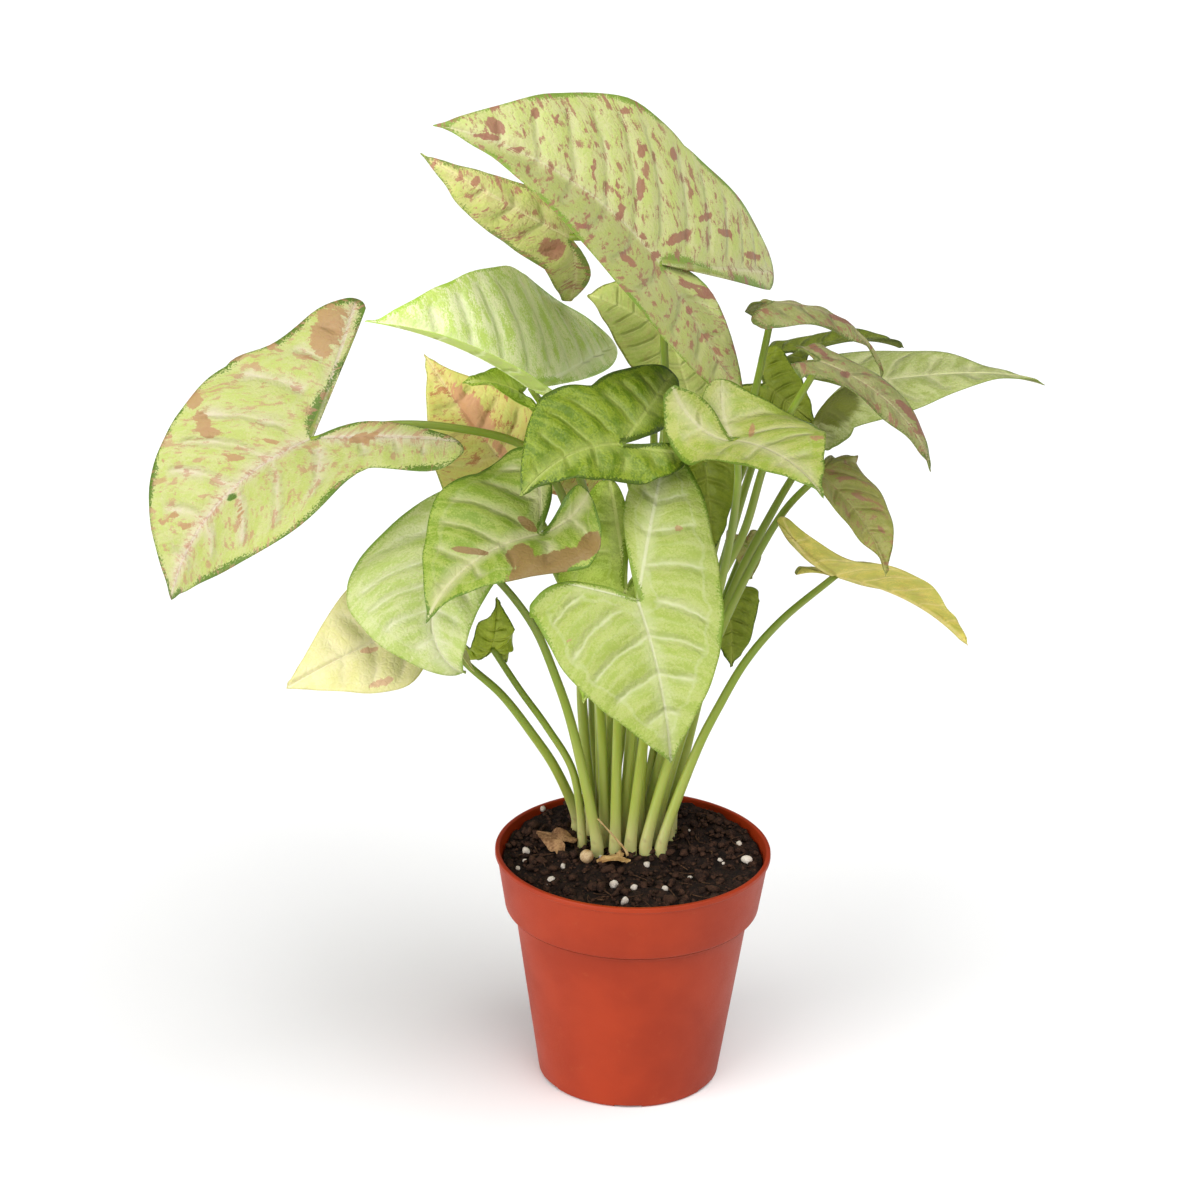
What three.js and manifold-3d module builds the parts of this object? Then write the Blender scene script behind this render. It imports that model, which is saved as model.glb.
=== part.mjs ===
// An arrowhead plant in a round nursery pot. Millimetres, +Z up. The origin is the middle of the
// pot's base, on the surface that the pot stands on, and the plant's front faces -Y.
import * as THREE from "three";
import { mergeVertices } from "three/addons/utils/BufferGeometryUtils.js";
import Module from "manifold-3d";

const wasm = await Module();
wasm.setup();

// Pot.
const POT_HEIGHT = 96;
const RIM_RADIUS = 54;
const LIP_HEIGHT = 2.4;
const LIP_WIDTH = 0.8;
const BAND_HEIGHT = 24;
const BAND_FOOT_RADIUS = 49.8;
const WALL_TOP_RADIUS = 45.8;
const BASE_RADIUS = 35.6;
const WALL = 1.3;
const FLOOR = 2.6;
const BASE_ROUND = 1.5;
const BAND_ROUND = 1.2;
const LIP_ROUND = 0.4;
const SHOULDER = 3; // height of the step from the wall to the band
const NOTCH_COUNT = 6;
const NOTCH_WIDTH = 11;
const NOTCH_HEIGHT = 1.1;
const NOTCH_DEPTH = 6;
const TURNED_SIDES = 48;

// Soil.
const GAP = 0.3;
const SOIL_CREST = 93;
const SOIL_EDGE = 91.3;
const SOIL_EDGE_RADIUS = 50.5;
const SOIL_SLOPE = 0.08;
const SOIL_RINGS = [1, 0.88, 0.72, 0.5, 0.25, 0]; // shares of the edge's radius
const LUMPS = { height: 0.6, length: 4.3, depth: 5.1 };
const HOLLOW = { x: 21, y: -9, depth: 3, radius: 9 };
const HOLE_DEPTH = 16;
const HOLE_HEAD = 4; // how far a hole's cutter stands above the soil
const HOLE_CLEARANCE = 0.35;
const HOLE_SIDES = 8;

// Litter on the soil.
const BEAD_RADIUS = 2.7;
const BEAD_PLACE = [-18, -7];
const BEAD_SIDES = 12;
const BEAD_RINGS = 8;
const ROOT_BIT_RADIUS = 0.5;

// Leaves and their stems.
const BLADE_THICKNESS = 0.7;
const STEM_FOOT_RADIUS = 2.3;
const PLAIN_FOOT_RADIUS = 1.7;
const STEM_TOP_RADIUS = 1.3;
const STEM_UPRIGHT = [1, 4]; // heights over the soil of the points between which a stem is upright
const STEM_RUN = 1; // how far a stem runs on under the blade
const STEM_SIDES = 6;
const STEM_STEPS = 7;
const RINGS = [0.35, 0.72, 1];
const PLAIN_RINGS = [0.5, 1];
const COLUMNS = 11;
const PLAIN_COLUMNS = 7;
const BEND_STEPS = 24;
const WAIST_LENGTH = 0.25; // in blade lengths, ahead of the stem and behind it
const LOBE_END = 9 / 11; // share of the way round half the margin, from the tip to the lobe's end

// One half of an arrowhead blade laid flat. x is in half widths. y is in blade lengths ahead of the
// stem, where it is positive, and in lobe lengths behind the stem, where it is negative.
const HALF_OUTLINE = new THREE.SplineCurve([
  new THREE.Vector2(0, 1),
  new THREE.Vector2(0.06, 0.93),
  new THREE.Vector2(0.22, 0.81),
  new THREE.Vector2(0.5, 0.62),
  new THREE.Vector2(0.78, 0.38),
  new THREE.Vector2(0.95, 0.1),
  new THREE.Vector2(1, -0.22),
  new THREE.Vector2(0.95, -0.62),
  new THREE.Vector2(0.76, -0.94),
  new THREE.Vector2(0.5, -0.97),
  new THREE.Vector2(0.22, -0.6),
  new THREE.Vector2(0.05, 0),
]);

// Each finish: the colour and the roughness of the mesh's material.
const FINISHES = {
  flecked: { color: "#c9cf86", roughness: 0.45 },
  pale: { color: "#c3cf7d", roughness: 0.45 },
  rosy: { color: "#c79a6c", roughness: 0.45 },
  green: { color: "#7c9440", roughness: 0.45 },
  deep: { color: "#4d6a26", roughness: 0.45 },
  veined: { color: "#a9c47c", roughness: 0.45 },
  olive: { color: "#8c9440", roughness: 0.45 },
  dry: { color: "#9a7448", roughness: 0.9 },
  bead: { color: "#d9b36a", roughness: 0.6 },
  root: { color: "#d8c28a", roughness: 0.7 },
  pot: { color: "#c8552f", roughness: 0.6 },
  soil: { color: "#2b1d15", roughness: 0.95 },
};

// What a leaf has unless its own entry says otherwise. Angles are in degrees.
const USUAL = {
  arch: 30, // turn of the midrib from the stem to the tip, downward
  hook: 15, // further turn, close to the tip
  lobeDrop: [15, 15], // turn of the left and the right lobe, downward, from the stem to its end
  fold: [20, 20], // rise of the left and the right half beside the midrib
  curl: [30, 30], // turn of each half back down, from the midrib to the margin
  share: [1, 1], // width of each half over half the blade's width
  full: [0, 0], // how much fuller each half is toward the tip
  waist: [0, 0], // how far the margin of each half is drawn in beside the stem
  spread: [0.1, 0.1], // how far each lobe swings outward, in half widths
  belly: [0, 0], // how far each lobe's inner edge bulges inward, in half widths
  bow: 0, // how far the midrib bows to the right between the stem and the tip, in millimetres
  plain: false, // a small leaf, made with fewer triangles
  wave: [1.2, 3, 0], // height in millimetres, waves a half, and phase
};

// at is where the stem joins the blade, tip the blade's tip, and faces where its upper side looks.
// foot is where the stem enters the soil, and stem lists the points that it passes on its way up.
const LEAVES = [
  {
    name: "leaf_top", finish: "flecked", at: [5, -10, 337], tip: [-77, -40, 396], faces: [-0.1, -0.7, 0.7],
    width: 110, lobes: [54, 82], lobeDrop: [-8, 15], fold: [25, 2], curl: [10, 20], share: [0.6, 0.98],
    full: [0, 0.4], spread: [0.3, 0.17], belly: [0.7, -0.1], bow: 5,
    foot: [2, 6], stem: [[5, 8, 197], [9, 5, 253], [8, 4, 292], [6, -3, 321]],
  },
  {
    name: "leaf_top_back", finish: "flecked", at: [-28, 22, 337], tip: [-84, 10, 372],
    faces: [-0.2, -0.9, 0.3], width: 36, lobes: [31, 22], lobeDrop: [20, 15], fold: [-5, -30], curl: [25, 20],
    share: [0.9, 0.8], full: [1, 0], spread: [1, 0], belly: [0.3, 0],
    foot: [-9, 26], stem: [[3, 33, 204], [9, 31, 261], [9, 31, 306], [-2, 27, 334]],
  },
  {
    name: "leaf_upper_left", finish: "pale", at: [-41, -22, 292], tip: [-100, -62, 330],
    faces: [-0.1, -0.7, 0.7], width: 84, lobes: [8, 74], lobeDrop: [15, 0], fold: [66, 8], curl: [10, 25],
    share: [0.5, 1.1], waist: [0, -0.12], spread: [0.1, 0.5],
    foot: [-9, 13], stem: [[-12, 6, 190], [-20, -4, 242], [-32, -13, 274]],
  },
  {
    name: "leaf_left_big", finish: "flecked", at: [-123, -10, 267], tip: [-175, -30, 209],
    faces: [-0.2, -0.95, 0.3], width: 84, lobes: [23, 57], fold: [45, 0], curl: [20, 15],
    share: [1.1, 0.85], full: [1, 2], waist: [0.25, -0.28], spread: [0.5, 0.12], belly: [0.2, -0.1], bow: 9,
    foot: [-16, 13], stem: [[-21, 24, 147], [-22, 14, 194], [-29, 4, 239], [-43, 0, 261], [-72, -6, 271],
      [-98, -8, 272]],
  },
  {
    name: "leaf_rose", finish: "rosy", at: [-47, 10, 245], tip: [-83, 20, 291], faces: [0, -1, 0.1],
    width: 56, lobes: [24, 24],
    foot: [-17, 26], stem: [[-18, 28, 164], [-30, 20, 208]],
  },
  {
    name: "leaf_centre", finish: "green", at: [-8, -50, 281], tip: [-44, -80, 271], faces: [0, -0.7, 0.7],
    width: 62, lobes: [24, 47], lobeDrop: [-20, 5], fold: [0, 26], curl: [15, 30], share: [0.55, 0.92],
    full: [0, 0.8], waist: [0, 0.12], belly: [0, 0.2], bow: 4,
    foot: [-4, 7], stem: [[0, -6, 198], [-2, -22, 245]],
  },
  {
    name: "leaf_right_centre", finish: "green", at: [33, -52, 284], tip: [63, -102, 281],
    faces: [0.15, -0.3, 1], width: 60, lobes: [34, 32], lobeDrop: [-80, -100], fold: [20, -5],
    share: [1, 0.6], spread: [-0.3, 0], belly: [0.1, 0.35],
    foot: [5, 0], stem: [[13, 2, 132], [22, -8, 171], [31, -20, 218], [35, -38, 261]],
  },
  {
    name: "leaf_left_low", finish: "green", at: [-37, -54, 247], tip: [-77, -88, 225],
    faces: [-0.2, -0.6, 0.8], width: 74, lobes: [29, 27], lobeDrop: [-110, -40], share: [0.7, 1],
    spread: [-0.35, 0.1], belly: [0.15, 0], bow: 5,
    foot: [-11, 6], stem: [[-13, 4, 142], [-16, -17, 175], [-25, -40, 213]],
  },
  {
    name: "leaf_front", finish: "veined", at: [-1, -72, 229], tip: [12, -95, 175], faces: [0, -0.9, 0.45],
    width: 74, lobes: [58, 10], share: [0.86, 1.08], full: [0, 0.3], spread: [0.05, 0], belly: [0.2, 0],
    bow: -2,
    foot: [-1, 0], stem: [[2, -2, 130], [4, -24, 167], [3, -52, 205]],
  },
  {
    name: "leaf_front_back", finish: "veined", at: [-5, -50, 225], tip: [-20, -60, 183],
    faces: [0, -0.9, 0.4], width: 54, lobes: [20, 36], share: [0.3, 1],
    foot: [-7, 1], stem: [[-7, 0, 128], [-7, -12, 167], [-7, -34, 204]],
  },
  {
    name: "leaf_pale_left", finish: "veined", at: [-65, -30, 230], tip: [-64, -46, 189],
    faces: [-0.3, -0.9, 0.2], width: 84, lobes: [36, 34], arch: 20, hook: 90, share: [0.55, 0.94],
    full: [1.3, 1], spread: [-0.2, -0.75], bow: 10,
    foot: [-14, 0], stem: [[-24, 0, 145], [-31, -8, 171], [-40, -16, 196], [-54, -24, 218]],
  },
  {
    name: "leaf_pale_low", finish: "pale", at: [-78, -15, 198], tip: [-132, -35, 176], faces: [0, -0.8, 0.6],
    width: 60, lobes: [4, 24], share: [0.9, 1], full: [0.8, 0], waist: [0.6, 0],
    foot: [-22, 21], stem: [[-31, 8, 126], [-40, 2, 143], [-52, -4, 162], [-66, -10, 178]],
  },
  {
    name: "leaf_curl_left", finish: "deep", at: [-56, 0, 179], tip: [-54, -3, 202], faces: [0.3, -0.8, 0.6],
    width: 22, lobes: [6, 6], fold: [40, 40], curl: [110, 110], wave: [2.4, 4, 0], plain: true,
    foot: [-20, 6], stem: [[-24, 5, 126], [-34, 3, 145], [-45, 1, 162]],
  },
  {
    name: "leaf_small_dark", finish: "deep", at: [-46, -6, 285], tip: [-67, -20, 293],
    faces: [0, -0.4, 0.9], width: 20, lobes: [6, 6], plain: true,
    foot: [-13, 19], stem: [[-17, 14, 195], [-23, 4, 247], [-36, -2, 272]],
  },
  {
    name: "leaf_mid_back", finish: "olive", at: [8, 56, 290], tip: [-22, 62, 302], faces: [0, -0.6, 0.8],
    width: 50, lobes: [12, 12], full: [0, 0.8],
    foot: [-3, 30], stem: [[7, 44, 201], [5, 49, 255]],
  },
  {
    name: "leaf_inner", finish: "olive", at: [18, 22, 275], tip: [8, 28, 305], faces: [0, -0.9, 0.3],
    width: 26, lobes: [10, 10], plain: true,
    foot: [-3, 19], stem: [[12, 26, 207], [18, 24, 253]],
  },
  {
    name: "leaf_right_upper", finish: "flecked", at: [47, 4, 319], tip: [89, 2, 290], faces: [0.1, 0.1, 1],
    width: 36, lobes: [12, 10], lobeDrop: [40, 40], arch: 60, hook: 30, fold: [0, 0], curl: [40, 40],
    foot: [15, 20], stem: [[24, 28, 183], [32, 22, 229], [42, 12, 280]],
  },
  {
    name: "leaf_right_back", finish: "deep", at: [60, 46, 286], tip: [101, 54, 286], faces: [0, 0.15, 1],
    width: 36, lobes: [10, 10],
    foot: [4, 28], stem: [[30, 42, 187], [42, 45, 234], [54, 46, 274]],
  },
  {
    name: "leaf_sickle", finish: "green", at: [63, -31, 308], tip: [105, -45, 271], faces: [0.2, -0.1, 1],
    width: 27, lobes: [12, 7], arch: 50, fold: [5, 5], curl: [20, 20], share: [1.3, 1], full: [0.6, 1],
    foot: [4, 12], stem: [[26, 3, 196], [39, -10, 233], [47, -19, 268]],
  },
  {
    name: "leaf_right_long", finish: "pale", at: [76, 12, 284], tip: [152, 18, 284], faces: [0, -0.15, 1],
    width: 54, lobes: [14, 18], lobeDrop: [15, 50], arch: 13, hook: 20, fold: [12, 10], curl: [35, 30],
    spread: [0.1, 0.4], wave: [2.6, 1.5, 0],
    foot: [14, 13], stem: [[34, 20, 190], [52, 21, 232], [68, 16, 264]],
  },
  {
    name: "leaf_right_droop", finish: "olive", at: [66, -12, 258], tip: [91, -38, 227],
    faces: [0.8, -0.5, 0.5], width: 50, lobes: [5, 4], waist: [0, 0.3],
    foot: [8, 7], stem: [[23, 8, 158], [37, 2, 201], [54, -6, 240]],
  },
  {
    name: "leaf_yellow", finish: "olive", at: [74, -2, 213], tip: [128, 13, 179], faces: [0.1, 0.75, 0.65],
    width: 54, lobes: [10, 36], lobeDrop: [15, -50], fold: [40, 5], share: [0.5, 0.9], full: [0, 0.4],
    spread: [0.1, -0.2], belly: [0, -0.25],
    foot: [11, 1], stem: [[24, 5, 136], [32, 4, 155], [42, 3, 175], [55, 1, 193]],
  },
  {
    name: "leaf_right_shadow", finish: "deep", at: [46, 25, 280], tip: [66, 23, 265], faces: [0, -0.9, 0.3],
    width: 28, lobes: [8, 8], plain: true,
    foot: [3, 20], stem: [[22, 28, 199], [40, 24, 248]],
  },
  {
    name: "leaf_stem_dark", finish: "deep", at: [24, 11, 254], tip: [28, 0, 219], faces: [0, -0.9, 0.3],
    width: 27, lobes: [8, 8], plain: true,
    foot: [9, 18], stem: [[13, 21, 149], [17, 15, 193], [20, 10, 228]],
  },
  {
    name: "leaf_curl_dark", finish: "deep", at: [36, 37, 184], tip: [37, 29, 161], faces: [0.3, -0.9, 0.3],
    width: 24, lobes: [8, 8], plain: true,
    foot: [13, 26], stem: [[21, 32, 135], [30, 36, 165]],
  },
  {
    name: "leaf_curl_olive", finish: "olive", at: [42, 52, 205], tip: [44, 45, 192], faces: [0.3, -0.9, 0.3],
    width: 15, lobes: [5, 5], plain: true,
    foot: [9, 32], stem: [[20, 42, 140], [34, 51, 180]],
  },
];

// Dried scraps of leaf on the soil, set out as the leaves are. A scrap has no stem.
const SCRAPS = [
  {
    name: "dry_leaf", finish: "dry", at: [-28, 2, 97.5], tip: [-38, 11, 96.5], faces: [0, -0.4, 1],
    width: 13, lobes: [5, 4], fold: [10, 0], curl: [50, 40], wave: [1, 3, 0.6], plain: true,
  },
  {
    name: "dry_scrap", finish: "dry", at: [-5, -7, 95], tip: [-14, -10, 94], faces: [0.2, -0.3, 1],
    width: 8, lobes: [3, 3], fold: [30, 0], curl: [40, 40], wave: [0.7, 2, 0], plain: true,
  },
];

// A dry root that leans on the front stems, from the soil up.
const ROOT_BIT = [[-2, -4, 93.8], [-2.5, -4, 96], [-8, -3.8, 103], [-14, -4, 110]];

const radians = THREE.MathUtils.degToRad;

// A closed body from its corners and its triangles.
function bodyOf(points, triangles) {
  const geometry = new THREE.BufferGeometry().setFromPoints(points);
  geometry.setIndex(triangles);
  return geometry;
}

// A geometry as a solid that can be joined and cut.
function solidOf(geometry) {
  const bare = geometry.clone();
  bare.deleteAttribute("normal");
  bare.deleteAttribute("uv");
  const merged = mergeVertices(bare, 1e-4);
  return new wasm.Manifold(new wasm.Mesh({
    numProp: 3,
    vertProperties: new Float32Array(merged.attributes.position.array),
    triVerts: new Uint32Array(merged.index.array),
  }));
}

// A solid as a geometry for a mesh.
function geometryOf(solid) {
  const { vertProperties, triVerts } = solid.getMesh();
  const geometry = new THREE.BufferGeometry();
  geometry.setAttribute("position", new THREE.BufferAttribute(new Float32Array(vertProperties), 3));
  geometry.setIndex(new THREE.BufferAttribute(new Uint32Array(triVerts), 1));
  geometry.computeVertexNormals();
  return geometry;
}

function meshOf(name, geometry, finish) {
  const material = new THREE.MeshStandardMaterial({ ...FINISHES[finish], metalness: 0 });
  const mesh = new THREE.Mesh(geometry, material);
  mesh.name = name;
  return mesh;
}

// How far a line bends away from straight. turn(t) is its downward angle a share t of the way along,
// and the result is its end: ahead and up, for a line of length 1.
function bentLine(turn, share) {
  let ahead = 0;
  let up = 0;
  for (let step = 0; step < BEND_STEPS; step += 1) {
    const angle = turn((share * (step + 0.5)) / BEND_STEPS);
    ahead += (share * Math.cos(angle)) / BEND_STEPS;
    up -= (share * Math.sin(angle)) / BEND_STEPS;
  }
  return { ahead, up };
}

const midribTurn = (leaf) => (t) => radians(leaf.arch) * t + radians(leaf.hook) * t ** 4;
const lobeTurn = (leaf, half) => (t) => radians(leaf.lobeDrop[half]) * t;

// The blade's own directions at the stem: along the midrib, out of the upper side, and to the right.
// They are turned so that the bent midrib ends exactly at the tip.
function bladeFrame(leaf) {
  const at = new THREE.Vector3(...leaf.at);
  const chord = new THREE.Vector3(...leaf.tip).sub(at);
  const end = bentLine(midribTurn(leaf), 1);
  const reach = Math.hypot(end.ahead, end.up);
  const length = chord.length() / reach;
  const along = chord.clone().normalize();
  const faces = new THREE.Vector3(...leaf.faces).projectOnPlane(along).normalize();
  const midrib = along.clone().multiplyScalar(end.ahead / reach).addScaledVector(faces, -end.up / reach);
  const upper = along.clone().multiplyScalar(end.up / reach).addScaledVector(faces, end.ahead / reach);
  const right = new THREE.Vector3().crossVectors(midrib, upper);
  return { at, length, midrib, upper, right };
}

// The point of the blade over the flat point (x, y), on the left (side -1) or the right (side 1).
function bladePoint(leaf, frame, side, x, y, waveHeight) {
  const half = side < 0 ? 0 : 1;
  const ahead = y >= 0;
  const scale = ahead ? frame.length : leaf.lobes[half];
  const share = Math.abs(y) / scale;
  const turn = ahead ? midribTurn(leaf) : lobeTurn(leaf, half);
  const spine = bentLine(turn, share);
  const lean = ahead ? turn(share) : -turn(share);
  const fold = radians(leaf.fold[half]);
  const halfWidth = (leaf.width / 2) * leaf.share[half];
  const bend = (radians(leaf.curl[half]) || 1e-6) / halfWidth;
  const across = (Math.sin(fold) - Math.sin(fold - bend * x)) / bend;
  const rise = (Math.cos(fold - bend * x) - Math.cos(fold)) / bend;
  const sideways = side * across + (ahead ? 4 * leaf.bow * share * (1 - share) : 0);
  const lift = rise + waveHeight;
  return frame.at.clone()
    .addScaledVector(frame.right, sideways)
    .addScaledVector(frame.midrib, (ahead ? 1 : -1) * scale * spine.ahead + lift * Math.sin(lean))
    .addScaledVector(frame.upper, scale * spine.up + lift * Math.cos(lean));
}

const footRadiusOf = (leaf) => (leaf.plain ? PLAIN_FOOT_RADIUS : STEM_FOOT_RADIUS);

const gridOf = (leaf) => ({
  rings: leaf.plain ? PLAIN_RINGS : RINGS,
  columns: leaf.plain ? PLAIN_COLUMNS : COLUMNS,
});

// The blade's middle surface: its point at the stem, then rings that grow outward to the margin.
// A ring runs from the left lobe's inner edge round the tip to the right lobe's inner edge.
function bladeSheet(leaf, frame) {
  const points = [frame.at.clone()];
  const [height, count, phase] = leaf.wave;
  const { rings, columns } = gridOf(leaf);
  for (const ring of rings) {
    for (let column = -columns; column <= columns; column += 1) {
      const side = column < 0 ? -1 : 1;
      const half = side < 0 ? 0 : 1;
      const away = Math.abs(column) / columns;
      const flat = HALF_OUTLINE.getPoint(away);
      const halfWidth = (leaf.width / 2) * leaf.share[half];
      const swing = flat.y < 0 ? leaf.spread[half] * -flat.y : leaf.full[half] * flat.y ** 2 * (1 - flat.y);
      const waist = leaf.waist[half] * Math.exp(-((flat.y / WAIST_LENGTH) ** 2));
      const inner = Math.max(0, (away - LOBE_END) / (1 - LOBE_END));
      const bulge = leaf.belly[half] * Math.sin(Math.PI * inner);
      const x = ring * (flat.x + swing - bulge) * (1 - waist) * halfWidth;
      const y = ring * flat.y * (flat.y < 0 ? leaf.lobes[half] : frame.length);
      const wave = height * ring ** 2 * Math.sin(Math.PI * away)
        * Math.sin(2 * Math.PI * count * side * away + phase);
      points.push(bladePoint(leaf, frame, side, x, y, wave));
    }
  }
  return points;
}

// The triangles of the sheet's upper side, and the corners round its edge.
function sheetTriangles(leaf) {
  const { rings, columns } = gridOf(leaf);
  const row = 2 * columns + 1;
  const at = (ring, column) => 1 + ring * row + column;
  const triangles = [];
  for (let column = 0; column < row - 1; column += 1) {
    triangles.push(0, at(0, column + 1), at(0, column));
    for (let ring = 0; ring < rings.length - 1; ring += 1) {
      const [a, b] = [at(ring, column), at(ring, column + 1)];
      const [c, d] = [at(ring + 1, column + 1), at(ring + 1, column)];
      triangles.push(a, b, c, a, c, d);
    }
  }
  const edge = [0];
  for (let ring = 0; ring < rings.length; ring += 1) edge.push(at(ring, row - 1));
  for (let column = row - 2; column >= 0; column -= 1) edge.push(at(rings.length - 1, column));
  for (let ring = rings.length - 2; ring >= 0; ring -= 1) edge.push(at(ring, 0));
  return { triangles, edge };
}

// A blade of even thickness, with the same triangles on its two sides.
function bladeGeometry(leaf, frame) {
  const sheet = bladeSheet(leaf, frame);
  const { triangles, edge } = sheetTriangles(leaf);
  const middle = bodyOf(sheet, triangles);
  middle.computeVertexNormals();
  const normals = middle.attributes.normal;
  const normalAt = (i) => new THREE.Vector3().fromBufferAttribute(normals, i);
  const upper = sheet.map((point, i) => point.clone().addScaledVector(normalAt(i), BLADE_THICKNESS / 2));
  const lower = sheet.map((point, i) => point.clone().addScaledVector(normalAt(i), -BLADE_THICKNESS / 2));
  const count = sheet.length;
  const all = [...triangles];
  for (let i = 0; i < triangles.length; i += 3) {
    all.push(triangles[i] + count, triangles[i + 2] + count, triangles[i + 1] + count);
  }
  edge.forEach((from, i) => {
    const to = edge[(i + 1) % edge.length];
    all.push(to, from, from + count, to, from + count, to + count);
  });
  return bodyOf([...upper, ...lower], all);
}

// A tapered stem, closed at both ends: straight up from its buried foot, then through the points.
function stemGeometry(foot, points, footRadius, topRadius) {
  const curve = new THREE.CatmullRomCurve3(points, false, "centripetal");
  const frames = curve.computeFrenetFrames(STEM_STEPS, false);
  const corners = [];
  const triangles = [];
  for (let ring = 0; ring <= STEM_STEPS + 1; ring += 1) {
    const step = Math.max(0, ring - 1);
    const share = step / STEM_STEPS;
    const middle = ring === 0 ? foot : curve.getPointAt(share);
    const radius = THREE.MathUtils.lerp(footRadius, topRadius, share);
    for (let side = 0; side < STEM_SIDES; side += 1) {
      const angle = (2 * Math.PI * side) / STEM_SIDES;
      corners.push(middle.clone()
        .addScaledVector(frames.normals[step], radius * Math.cos(angle))
        .addScaledVector(frames.binormals[step], radius * Math.sin(angle)));
    }
  }
  for (let ring = 0; ring <= STEM_STEPS; ring += 1) {
    for (let side = 0; side < STEM_SIDES; side += 1) {
      const [a, b] = [ring * STEM_SIDES + side, ring * STEM_SIDES + ((side + 1) % STEM_SIDES)];
      triangles.push(a, b, b + STEM_SIDES, a, b + STEM_SIDES, a + STEM_SIDES);
    }
  }
  const last = (STEM_STEPS + 1) * STEM_SIDES;
  for (let side = 1; side < STEM_SIDES - 1; side += 1) {
    triangles.push(0, side + 1, side);
    triangles.push(last, last + side, last + side + 1);
  }
  return bodyOf(corners, triangles);
}

// The soil's surface: a low mound that rises toward the back, with low lumps and one hollow.
function soilHeight(x, y) {
  const out = Math.min(1, Math.hypot(x, y) / SOIL_EDGE_RADIUS);
  const lumps = LUMPS.height * Math.sin(x / LUMPS.length + 1) * Math.cos(y / LUMPS.depth) * (1 - out ** 4);
  const apart = Math.hypot(x - HOLLOW.x, y - HOLLOW.y) / HOLLOW.radius;
  const hollow = HOLLOW.depth * Math.exp(-(apart ** 2));
  return SOIL_CREST - (SOIL_CREST - SOIL_EDGE) * out ** 2 + SOIL_SLOPE * y + lumps - hollow;
}

// The stem from its buried foot to the blade, and on along the middle of the blade for a short run.
function leafStem(leaf, frame) {
  const [x, y] = leaf.foot;
  const surface = soilHeight(x, y);
  const points = [
    ...STEM_UPRIGHT.map((height) => new THREE.Vector3(x, y, surface + height)),
    ...leaf.stem.map((point) => new THREE.Vector3(...point)),
    frame.at.clone().addScaledVector(frame.midrib, STEM_RUN),
  ];
  const foot = new THREE.Vector3(x, y, surface - HOLE_DEPTH + GAP);
  return stemGeometry(foot, points, footRadiusOf(leaf), STEM_TOP_RADIUS);
}

// The largest of a solid's separate bodies. It leaves out any pocket that is closed in between them.
function largestBody(solid) {
  return solid.decompose().reduce((best, body) => (body.volume() > best.volume() ? body : best));
}

function makeLeaf(entry) {
  const leaf = { ...USUAL, ...entry };
  const frame = bladeFrame(leaf);
  const whole = solidOf(bladeGeometry(leaf, frame)).add(solidOf(leafStem(leaf, frame)));
  return meshOf(leaf.name, geometryOf(largestBody(whole)), leaf.finish);
}

function makeScrap(entry) {
  const scrap = { ...USUAL, ...entry };
  return meshOf(scrap.name, bladeGeometry(scrap, bladeFrame(scrap)), scrap.finish);
}

function makeBead() {
  const [x, y] = BEAD_PLACE;
  const bead = new THREE.SphereGeometry(BEAD_RADIUS, BEAD_SIDES, BEAD_RINGS);
  bead.translate(x, y, soilHeight(x, y) + BEAD_RADIUS + GAP);
  return meshOf("bead", bead, "bead");
}

function makeRootBit() {
  const points = ROOT_BIT.map((point) => new THREE.Vector3(...point));
  const foot = points.shift();
  return meshOf("root_bit", stemGeometry(foot, points, ROOT_BIT_RADIUS, ROOT_BIT_RADIUS), "root");
}

// A profile of [radius, height] points turned about Z. It starts and ends on the axis.
function turned(profile) {
  const points = profile.map(([radius, height]) => new THREE.Vector2(radius, height));
  return new THREE.LatheGeometry(points, TURNED_SIDES).rotateX(Math.PI / 2);
}

const bandFoot = POT_HEIGHT - BAND_HEIGHT;

// The pot's inside up to the foot of the band, as [radius, height] points from the floor up.
const POT_INSIDE = [
  [BASE_RADIUS - 2 * WALL, FLOOR],
  [BASE_RADIUS - 1.2 * WALL, FLOOR + 0.8 * WALL],
  [WALL_TOP_RADIUS - WALL, bandFoot - SHOULDER],
  [WALL_TOP_RADIUS - 0.2 * WALL, bandFoot + 0.6 * WALL],
  [BAND_FOOT_RADIUS - WALL, bandFoot + 1.5 * WALL],
];

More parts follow.
